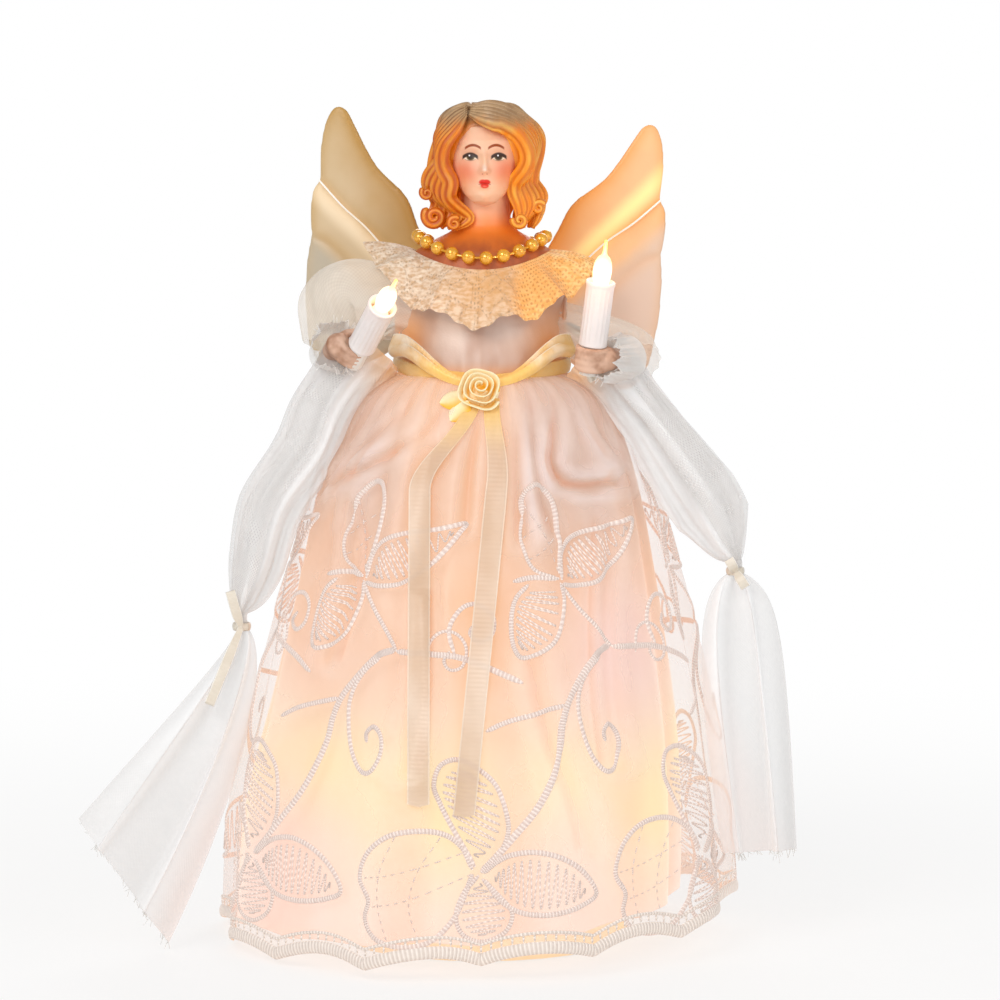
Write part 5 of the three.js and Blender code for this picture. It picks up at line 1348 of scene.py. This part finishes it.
# The seam piping glows white: a painted glow.
seam_thread.set(emission_color="FFF4DC", emission_strength=0.35)
pads = stuffed_wing("wing_pad")
local = places_of(pads.data) / mm
for side, name, tilt, tones in (
    (-1, "left", 0, ("D6BC92", "E8D4B4", "BE9040", "C2B8A4", "2E2214")),
    (1, "right", 8, ("F1B88C", "FFE49A", "EE9C3C", "EED0BC", "84502A")),
):
    panel = f"{name}_wing_panel"
    wing = placed(f"{name}_wing_pad", pads.data.copy())
    wing.data.vertices.foreach_set("co", (wing_place(local, side, tilt) * mm).ravel())
    if side < 0:
        wing.data.flip_normals()
    round_off = wing.modifiers.new("subdivide", "SUBSURF")
    round_off.levels = round_off.render_levels = 1
    dress(wing, wing_finish(f"{name}_wing_satin", *tones), panel, [f"{name}_wing"])
    line = through(wing_seams[0], 60) * [span, rise]
    piping = wing_place(spot(line[:, 0], -1.5, line[:, 1]), side, tilt)
    ring = tube(piping, 0.3, 8, close=True)
    strip = surface(f"{name}_wing_seam_1", ring[:, ::-1] if side > 0 else ring, closed=True,
                    weld=True)
    dress(strip, seam_thread, panel)
    route = np.array([(7, 0, -5.6), (0.9, 0, -5.6), (0, 0, -4.9), (0, 0, 0), (0, 0, 4.9),
                      (0.9, 0, 5.6), (7, 0, 5.6)], float)
    pin = through(wing_place(route, side, 0), 60)
    hinge = surface(f"{name}_wing_wire", tube(pin, 0.7, 10, (0.2, 1, 0), close=True),
                    closed=True, weld=True)
    dress(hinge, steel, panel)
bpy.data.objects.remove(pads)

# ---------------------------------------------------------------- arms
# Each arm is a wire in a puffed organza sleeve, with a bisque hand that grips a candle, a
# raw-edged cuff, and a length of organza gathered to a tie and let fly below it.
arms = {
    "left": dict(side=-1, foot=(-35.3, -26, 181), lean=(0.335, -0.700, 0.630),
                 tie=(-71.8, -20, 96.5), outer=(-119.5, -38, 41), inner=(-93.7, -30, 2),
                 bends=((0.36, 0.44, 0.44), (-0.03, 0.4, 0.47)),
                 tails=((0.14, 0.05, 0.5), (0.41, 0.41, -1)), tail=22,
                 sleeve=[(21, -2, 190), (33, -2, 193), (42.5, -3, 192), (46.5, -6.5, 179)],
                 round=(9.6, 7.4, 4), flat=0.072, hold=(-3.0, 4.8, -1.2),
                 cuff=(6.4, 7.6, 2.5), hip=(33.8, -10.5, 178.5),
                 hang=[(0, 0, 0.95), (0.2, 0.19, 0.93), (0.45, 0.6, 0.84), (0.72, 0.8, 0.7),
                       (0.86, 0.92, 0.42), (0.94, 1, 0), (1, 1, 0)], flare=(0, 8)),
    "right": dict(side=1, foot=(32.8, -26, 181), lean=(0.119, -0.206, 0.971),
                  tie=(76, -15, 112.6), outer=(95.2, -14, 27.5), inner=(71.7, -33, 30),
                  bends=((0.18, 0, 0.2), (-0.17, 0.61, 0.25)),
                  tails=((-0.44, 0.33, 0.78), (0.56, 0.44, -0.89)), tail=5,
                  sleeve=[(21.5, -2, 185), (34, -2, 182), (44, -4, 178.5), (46.5, -9.5, 174.5)],
                  round=(8, 7.4, -0.6), flat=0.06, hold=(-0.4, 0.8, -3.7),
                  cuff=(7.4, 5.8, 6.5), hip=(33.4, -10.5, 176.5),
                  hang=[(0, 0, 0.8), (0.14, 0.17, 0.76), (0.48, 0.54, 1.02), (0.66, 0.73, 1),
                        (0.84, 0.89, 0.5), (0.94, 1, 0), (1, 1, 0)], flare=(12, 10)),
}
hand_bisque = Finish("hand_bisque", "E9BFA4", 0.5)
# Painted shade: the hands are darker than the face's bisque, as hands in shade, in random clouds.
clay = hand_bisque.noise(150, 3)
hand_bisque.set(base_color=hand_bisque.blend(clay.clear_of(0.3, 0.6), "A87456", "E2BBA2"),
                roughness=clay * 0.2 + 0.4)
hand_bisque.raised(hand_bisque.noise(700, 3), 0.1, 0.5)
candle_white = uneven("candle_sleeve", "F3ECE8", 0.35, ("EBDFDC", "F7F2EF"), (130,),
                      (400, 2, 0.2, 0.25), (900, 2, 0.06, 0.4), coat_weight=0.2)
# Painted glow: the cover's top is lit orange by the lamp above it.
candle_white.set(emission_color=candle_white.blend(
    candle_white.z.clear_of(0.186, 0.2), "1C1412", "C08058"), emission_strength=0.4)
bulb_glass = uneven("candle_lamp_glass", "FFF4D8", 0.06, ("F8C060", "FFD98C"), (160,),
                    coat_weight=0.8)
lit = (bulb_glass.near((-27.6, -41.4, 195.4), 6) + bulb_glass.near((35.2, -30.4, 202), 5.6))
bulb_glass.set(emission_color=bulb_glass.blend((lit * 1.3).at_most(1.0), "F89A2A", "FFFBE8"),
               emission_strength=1.4)
grey_organza = sheer_finish("drape_organza", "F7F4F1", "DDD9D4", 0.48)
fold = grey_organza.mark("fold")
pink = (1 - (abs(grey_organza.x) - (0.19 - grey_organza.z) * 0.42).clear_of(0.014, 0.03)) * 0.6
cloud = grey_organza.noise(70, 3)
# Painted shade in the fold valleys and painted highlights on the fold ridges.
cloth = grey_organza.blend((fold * 0.3 + cloud * 0.5 + 0.4).at_most(1.0).at_least(0.0),
                           "C8C5C3", "F8F7F7")
# A painted warm glow from the candles near the hands.
golden = (grey_organza.near((-28, -13, 176), 9) + grey_organza.near((29, -13, 174), 8)) * 0.9
cloth = grey_organza.blend(pink, cloth, "F8E0D6")
grey_organza.set(base_color=grey_organza.blend(golden, cloth, "E6A850"),
                 alpha=(fold * -0.08 + cloud * 0.3 + golden * 0.4 + 0.38))
thin_organza = sheer_finish("thin_organza", "F2F1F0", "D6D4D2", 0.3)
sleeve_organza = sheer_finish("sleeve_organza", "FAF4EC", "E2D9CC", 0.42)
# A painted glow in emission that lightens the sleeves where they are in shade.
sleeve_organza.set(emission_strength=0.14)
cuff_organza = sheer_finish("cuff_organza", "F6F5F3", "D8D6D2", 0.76)
# Painted shade, brown, near the hand inside each cuff, and a painted glow in emission.
painted_hand_shade = cuff_organza.near_any(((-40, -18, 177), (38, -18, 175)), 7.5) * 0.45
cuff_organza.set(base_color=cuff_organza.blend(painted_hand_shade, cuff_organza.blend(
    cuff_organza.noise(70, 3), "D8D6D2", "F8F7F5"), "B88A6A"), emission_strength=0.1)
tie_ribbon = Finish("tie_ribbon", "E6DCCB", 0.4)
selvedge = abs(tie_ribbon.u - 0.5).clear_of(0.4, 0.46)
tie_ribbon.set(base_color=tie_ribbon.blend(selvedge, tie_ribbon.blend(
    tie_ribbon.noise(150), "DCD0BC", "EFE8DC"), "F6F1E8"),
    roughness=tie_ribbon.noise(300) * 0.2 + 0.3)
tie_ribbon.raised((tie_ribbon.v * 5).sine() * 0.3 + selvedge, 0.12, 0.5)


def lathe(name, foot, axis, outline, sides=48, flutes=0, depth=0.0, low=0.0, high=1.0):
    """A turned piece round an axis through its foot, from (radius, height) pairs, with
    shallow flutes along the stretch between two heights."""
    first = unit(np.cross(axis, (0.3, 1, 0.2)))
    second = np.cross(axis, first)
    radius, height = np.asarray(outline, float).T[..., None]
    turn = 2 * np.pi * np.arange(sides) / sides
    within = ease((height - low) / 0.6) * ease((high - height) / 0.6)
    radius = radius - depth * within * (0.5 + 0.5 * np.cos(flutes * turn))
    places = off(foot, (radius * np.cos(turn), first), (radius * np.sin(turn), second),
                 (height, axis))
    return surface(name, places, closed=True, weld=True)


def off(base, *ways):
    """Places off a base, from pairs of distances and a direction."""
    return base + sum(np.multiply.outer(far, way) for far, way in ways)


def beside_skirt(places, gap):
    """Cloth that would lie inside the overskirt, moved out to lie in order on its face."""
    x, y, z = np.moveaxis(places, -1, 0)
    degrees = np.degrees(np.arctan2(y, x)) + 90
    face = on_skirt(degrees, np.clip(z, 12, 171))[0]
    out = np.hypot(x, y)
    clear = out - np.hypot(face[..., 0], face[..., 1]) - gap
    pressed_in = 1.2 * np.exp((np.minimum(clear, 1.2) - 1.2) / 6)
    laid = out - clear + np.where(clear > 1.2, clear, pressed_in)
    return spot(x * laid / out, y * laid / out, z)


def fray(name, edge, outward, seed):
    """Loose threads pulled from a raw edge: thin bent hairs of uneven length."""
    longest = 2.2
    random = np.random.default_rng(seed)
    threads = Needlework()
    for i in random.integers(0, len(edge), 46):
        far = longest * random.uniform(0.25, 1)
        way = unit(outward[i] + random.normal(0, 0.45, 3))
        side = random.normal(0, 0.25, 3)
        path = through([edge[i] - way * 0.3, edge[i] + way * far * 0.5 + side,
                        edge[i] + way * far + side * 2], 6)
        threads.add(tube(path, 0.1, 4, (0.31, 0.2, 0.93)), far, closed=True)
    return threads.piece(name)


for number, (name, arm) in enumerate(arms.items()):
    body, side = f"{name}_arm", arm["side"]
    foot, lean = np.array(arm["foot"], float), unit(arm["lean"])
    outward = unit(np.array([side, 0, 0]) - side * lean[0] * lean)
    forward = np.cross(lean, outward) * -side
    grip = foot + arm["hold"]
    palm = grip + 4.4 * outward
    to_elbow = unit(np.array([side * 47, -4, 175.4]) - palm)
    wrist = palm + 11 * to_elbow
    palm = grip + 4.4 * outward

    # Candle cover: moulded plastic with flutes and a plain rim; lamp: blown glass, lit
    outline = [(4.2, 0), (4.25, 0.4), (4.15, 0.9), *[(4.15, h) for h in np.linspace(1.5, 17.6, 14)],
               (4.2, 18.3), (4.4, 18.7), (4.4, 19.4), (4.2, 19.6), (3.6, 19.6), (3.45, 19.2),
               (3.4, 18), (3.4, 1), (3.5, 0), (4.2, 0)]
    cover = lathe(f"{name}_candle_cover", foot, lean, outline, 72, 18, 0.22, 1.2, 17.8)
    dress(cover, candle_white, body, [f"{name}_candle_sleeve"])
    glass = [(0, 10.6), (1.5, 10.6), (1.5, 16.2), (2.3, 16.4), (2.5, 17), (2.2, 17.9), (2.3, 19),
             (2.65, 20.8), (2.8, 22.3), (2.75, 23.8), (2.45, 25.4), (1.8, 26.7), (1.0, 27.5),
             (0.75, 28), (0.62, 29), (0.5, 31), (0.45, 31.9), (0, 32.3)]
    glass = through(glass, 70)
    glass[:, 0] = np.clip(glass[:, 0], 0, None)
    bulb = lathe(f"{name}_candle_glass", foot, lean, glass, 36)
    dress(bulb, bulb_glass, f"{name}_candle_lamp", [f"{name}_candle_bulb"])

    # Hand: a palm, a wrist, a thumb and four fingers closed round the candle's stem
    def closed_round(radius, bend, rise):
        return off(grip, (radius * np.cos(bend), outward), (radius * np.sin(bend), forward),
                   (rise, lean))

    steps = np.linspace(0, 1, 14)
    across_palm = 3.8 * np.sqrt(np.sin(np.clip(np.pi * steps, 0.12, 3.02)))
    parts = [tube(off(palm, (-3.6 + 7.2 * steps, lean)), across_palm, 20, (0.2, 1, 0.1),
                  close=True),
             tube(off(palm, (12.4 * steps, to_elbow)), 3.7 - 0.8 * steps, 16, (0.2, 0.3, 1),
                  close=True)]
    for i in range(4):
        bend = np.radians(np.linspace(-25, 205 - 12 * i, 18))
        path = closed_round(4.3 + 0.2 * np.cos(3 * bend), bend, 2.6 - 1.8 * i)
        parts.append(tube(path, 1.15 - 0.25 * np.linspace(0, 1, 18) ** 3, 12, lean, close=True))
    path = closed_round(4.5, np.radians(np.linspace(20, -120, 16)), np.linspace(0.5, 2.2, 16))
    parts.append(tube(path, 1.5 - 0.35 * np.linspace(0, 1, 16), 12, lean, close=True))
    flesh = Needlework()
    for part in parts:
        flesh.add(part, 1, closed=True)
    hand = flesh.piece(f"{name}_hand_bisque")
    with reworked(hand.data) as work:
        bmesh.ops.remove_doubles(work, verts=work.verts, dist=1e-6)
        bmesh.ops.recalc_face_normals(work, faces=work.faces)
    merge = hand.modifiers.new("merge", "REMESH")
    merge.mode = "VOXEL"
    merge.voxel_size = 0.0004
    hand.modifiers.new("soften", "SMOOTH").iterations = 3
    settle(hand)
    dress(hand, hand_bisque, body, [f"{name}_hand"])

    # Sleeve: a puffed tube of organza, creased, open at both ends
    share = np.linspace(0, 1, 40)[:, None]
    turn = 2 * np.pi * np.arange(90) / 90
    path = through(np.array(arm["sleeve"]) * [side, 1, 1], 40)
    full = np.sin(np.pi * share)
    first, last, puff = arm["round"]
    radius = mix(first, last, share) + puff * np.sin(np.pi * share**1.3) \
        + 0.7 * full * np.sin(5 * turn + 2 * share) \
        + 0.35 * np.sin(13 * turn + 3 * share) * mix(1, 0.4, full)
    sleeve = surface(f"{name}_sleeve_organza", tube(path, radius, 90)[:, ::-1], closed=True,
                     size=(60, 30))
    dress(sleeve, sleeve_organza, body, [f"{name}_sleeve"])

    # Cuff: a ruffle that opens over the hand, its edge left raw
    share = np.linspace(0, 1, 16)[:, None]
    turn = 2 * np.pi * np.arange(240) / 240
    path = off(wrist + 2 * to_elbow, (-10.6 * share[:, 0], to_elbow))
    wave = share * (0.7 * np.sin(7 * turn + 1) + 0.5 * np.sin(12 * turn + number))
    first, last, over_edge = arm["cuff"]
    radius = mix(first, last, share**1.3) + 0.9 * wave + 0.2 * share * np.sin(31 * turn)
    ring = tube(path, radius, 240) + (1.1 * wave)[..., None] * to_elbow
    away = unit(ring - path[:, None])
    over_hand = np.clip(0.5 + 0.7 * (away @ unit((side, 0, -0.7))), 0, 1) * share
    ring = ring - (over_edge * over_hand)[..., None] * to_elbow
    cuff = surface(f"{name}_cuff_organza", ring[:, ::-1], closed=True, size=(90, 10))
    dress(cuff, cuff_organza, body, [f"{name}_cuff"])
    loose = fray(f"{name}_cuff_fray", ring[-1], unit(ring[-1] - path[-1]), 5 + number)
    dress(loose, cuff_organza, body)

    # Drape: gathered organza from the cuff down to its tie
    tie = np.array(arm["tie"], float)
    drop, out, wide = np.array(arm["hang"]).T
    line = spot(side * mix(46.5, abs(tie[0]), out), -mix(15, -tie[1], np.minimum(1, 2 * drop)),
                mix(163.1, tie[2] + 0.15, drop))
    line = np.vstack([np.array(arm["hip"]) * [side, 1, 1], line])
    line[1:3, 0] -= side * np.array([1.6, 0.8])
    path = through(line, 90)
    long = np.linspace(0, 1, 90)[:, None]
    wide = np.interp(long, np.arange(8) / 7, [1.05, *wide])
    turn = np.linspace(0, 2 * np.pi * 1.03, 176) + np.pi * (side < 0)
    folds = (0.9 * np.cos(5 * turn + 1.1 * np.sin(5 * long)) + 0.6 * np.cos(3 * turn + 2 + 3 * long)
             + 0.6 * np.cos(9 * turn + 6 * long) + 0.25 * np.cos(17 * turn - 5 * long))
    flat = mix(1, 0.62, wide)
    full = mix(1.8, 9.9, wide)
    radius = full + wide * folds - 0.5 * ease((turn - turn[0] - 6.1) / 0.3)
    way = unit(np.gradient(path, axis=0))
    second = unit(np.cross((0, 1.0, 0), way))
    first = np.cross(second, way) * spot(1, flat[:, 0], 1)
    ring = path[:, None] + first[:, None] * (radius * np.cos(turn))[..., None] \
        + second[:, None] * (radius * np.sin(turn))[..., None]
    ring = beside_skirt(ring, 0.5)
    drape = surface(f"{name}_drape_organza", ring[:, ::-1], size=(60, 80),
                    marks={"fold": folds[:, ::-1]})
    dress(drape, grey_organza, body, [f"{name}_drape"])
    turn = np.radians(np.linspace(-70, 95, 40))
    loose_out = wide * (0.7 + 1.3 * np.sin(np.pi * np.clip(long * 1.25, 0, 1)))
    radius = full + loose_out * np.cos(turn / 1.5) + 0.4 * wide * np.sin(4 * turn + 5 * long)
    flap = path[:, None] + spot(side * radius * np.cos(turn), -radius * np.sin(turn) * flat,
                                0.25 * radius * np.cos(turn))
    flap = beside_skirt(flap, 1.8)
    overlay = surface(f"{name}_drape_flap", flap if side < 0 else flap[:, ::-1], size=(26, 80))
    dress(overlay, thin_organza, body)

    # Streamer: the flared end below the tie, folded along its length
    start = tie - [0, 0, 0.15]

    def edge_line(corner, bend, inward):
        """A cubic from the neck, straight down at first, to the corner."""
        corner = np.array(corner, float)
        begin = start + [(1 - 2 * inward) * side * 1.26, 0, 0]
        fall = start[2] + 0.15 - corner[2]
        turn_at = np.array([side * (abs(tie[0]) + fall * bend[0]),
                            mix(tie[1], corner[1], bend[1]), tie[2] - fall * bend[2]])
        t = np.linspace(0, 1, 90)[:, None]
        below = begin + [(1 - 2 * inward) * side * arm["flare"][inward], 0, -5]
        return ((1 - t) ** 3 * begin + 3 * (1 - t) ** 2 * t * below
                + 3 * (1 - t) * t**2 * turn_at + t**3 * corner)

    edges = [edge_line(arm["outer"], arm["bends"][0], 0),
             edge_line(arm["inner"], arm["bends"][1], 1)]
    t = np.linspace(0, 1, 90)[:, None]
    u = np.linspace(0, 1, 150)[None, :]
    turned = 2 * np.pi * (2 * u + 0.05 * np.sin(4 * t))
    lap = u + np.sin(np.pi * u) ** 0.5 * ease(2.5 * t) * (
        0.1 * np.sin(turned + 0.5) + 0.016 * np.sin(2 * np.pi * 5 * u + 2 + 2 * t))
    order = lap if side < 0 else 1 - lap
    places = mix(edges[0][:, None], edges[1][:, None], order[..., None])
    wave = 1.9 * np.cos(turned + 0.5) + 0.5 * np.sin(2 * np.pi * 5 * u + 3 * t)
    places[..., 1] += ease(2 * t) * wave
    streamer = surface(f"{name}_streamer_organza", places[::-1], size=(60, 90),
                       marks={"fold": -wave[::-1] * 0.5})
    dress(streamer, grey_organza, body, [f"{name}_streamer"])
    loose = fray(f"{name}_streamer_fray", places[-1], np.tile([0.2 * side, 0, -1.0], (150, 1)),
                 11 + number)
    dress(loose, cuff_organza, body)

    # Tie: ribbon wound round the neck, knotted, with two short tails
    turn = np.linspace(0, 2 * np.pi, 49)[:-1]
    share = np.linspace(0, 1, 7)[:, None]
    out = 2.25 + 0.3 * np.sin(np.pi * share) + 0.12 * np.sin(7 * turn)
    band_places = tie + spot(out * np.cos(turn), out * np.sin(turn), 2.2 * (share - 0.5))
    wrap = surface(f"{name}_tie_band", band_places, closed=True, size=(1, 18))
    dress(wrap, tie_ribbon, body, [f"{name}_tie"], wall=0.4)
    knot_at = tie + [0, -2.5, 0]
    for i, way in enumerate(arm["tails"]):
        way = np.array([side * way[0], -way[1], way[2]]) * arm["tail"]
        beside = unit(np.cross(way, (0, 1, 0)))
        t = np.linspace(0, 1, 30)[:, None, None]
        u = np.linspace(-1.5, 1.5, 7)[None, :, None]
        bow_out = np.array([0, -1.2, 0]) * np.sin(np.pi * t)
        places = knot_at + way * t + beside * u * (0.55 + 0.45 * np.clip(3 * t, 0, 1)) + bow_out
        piece = surface(f"{name}_tie_tail_{i + 1}", places, size=(1, arm["tail"]))
        dress(piece, tie_ribbon, body, wall=0.25)
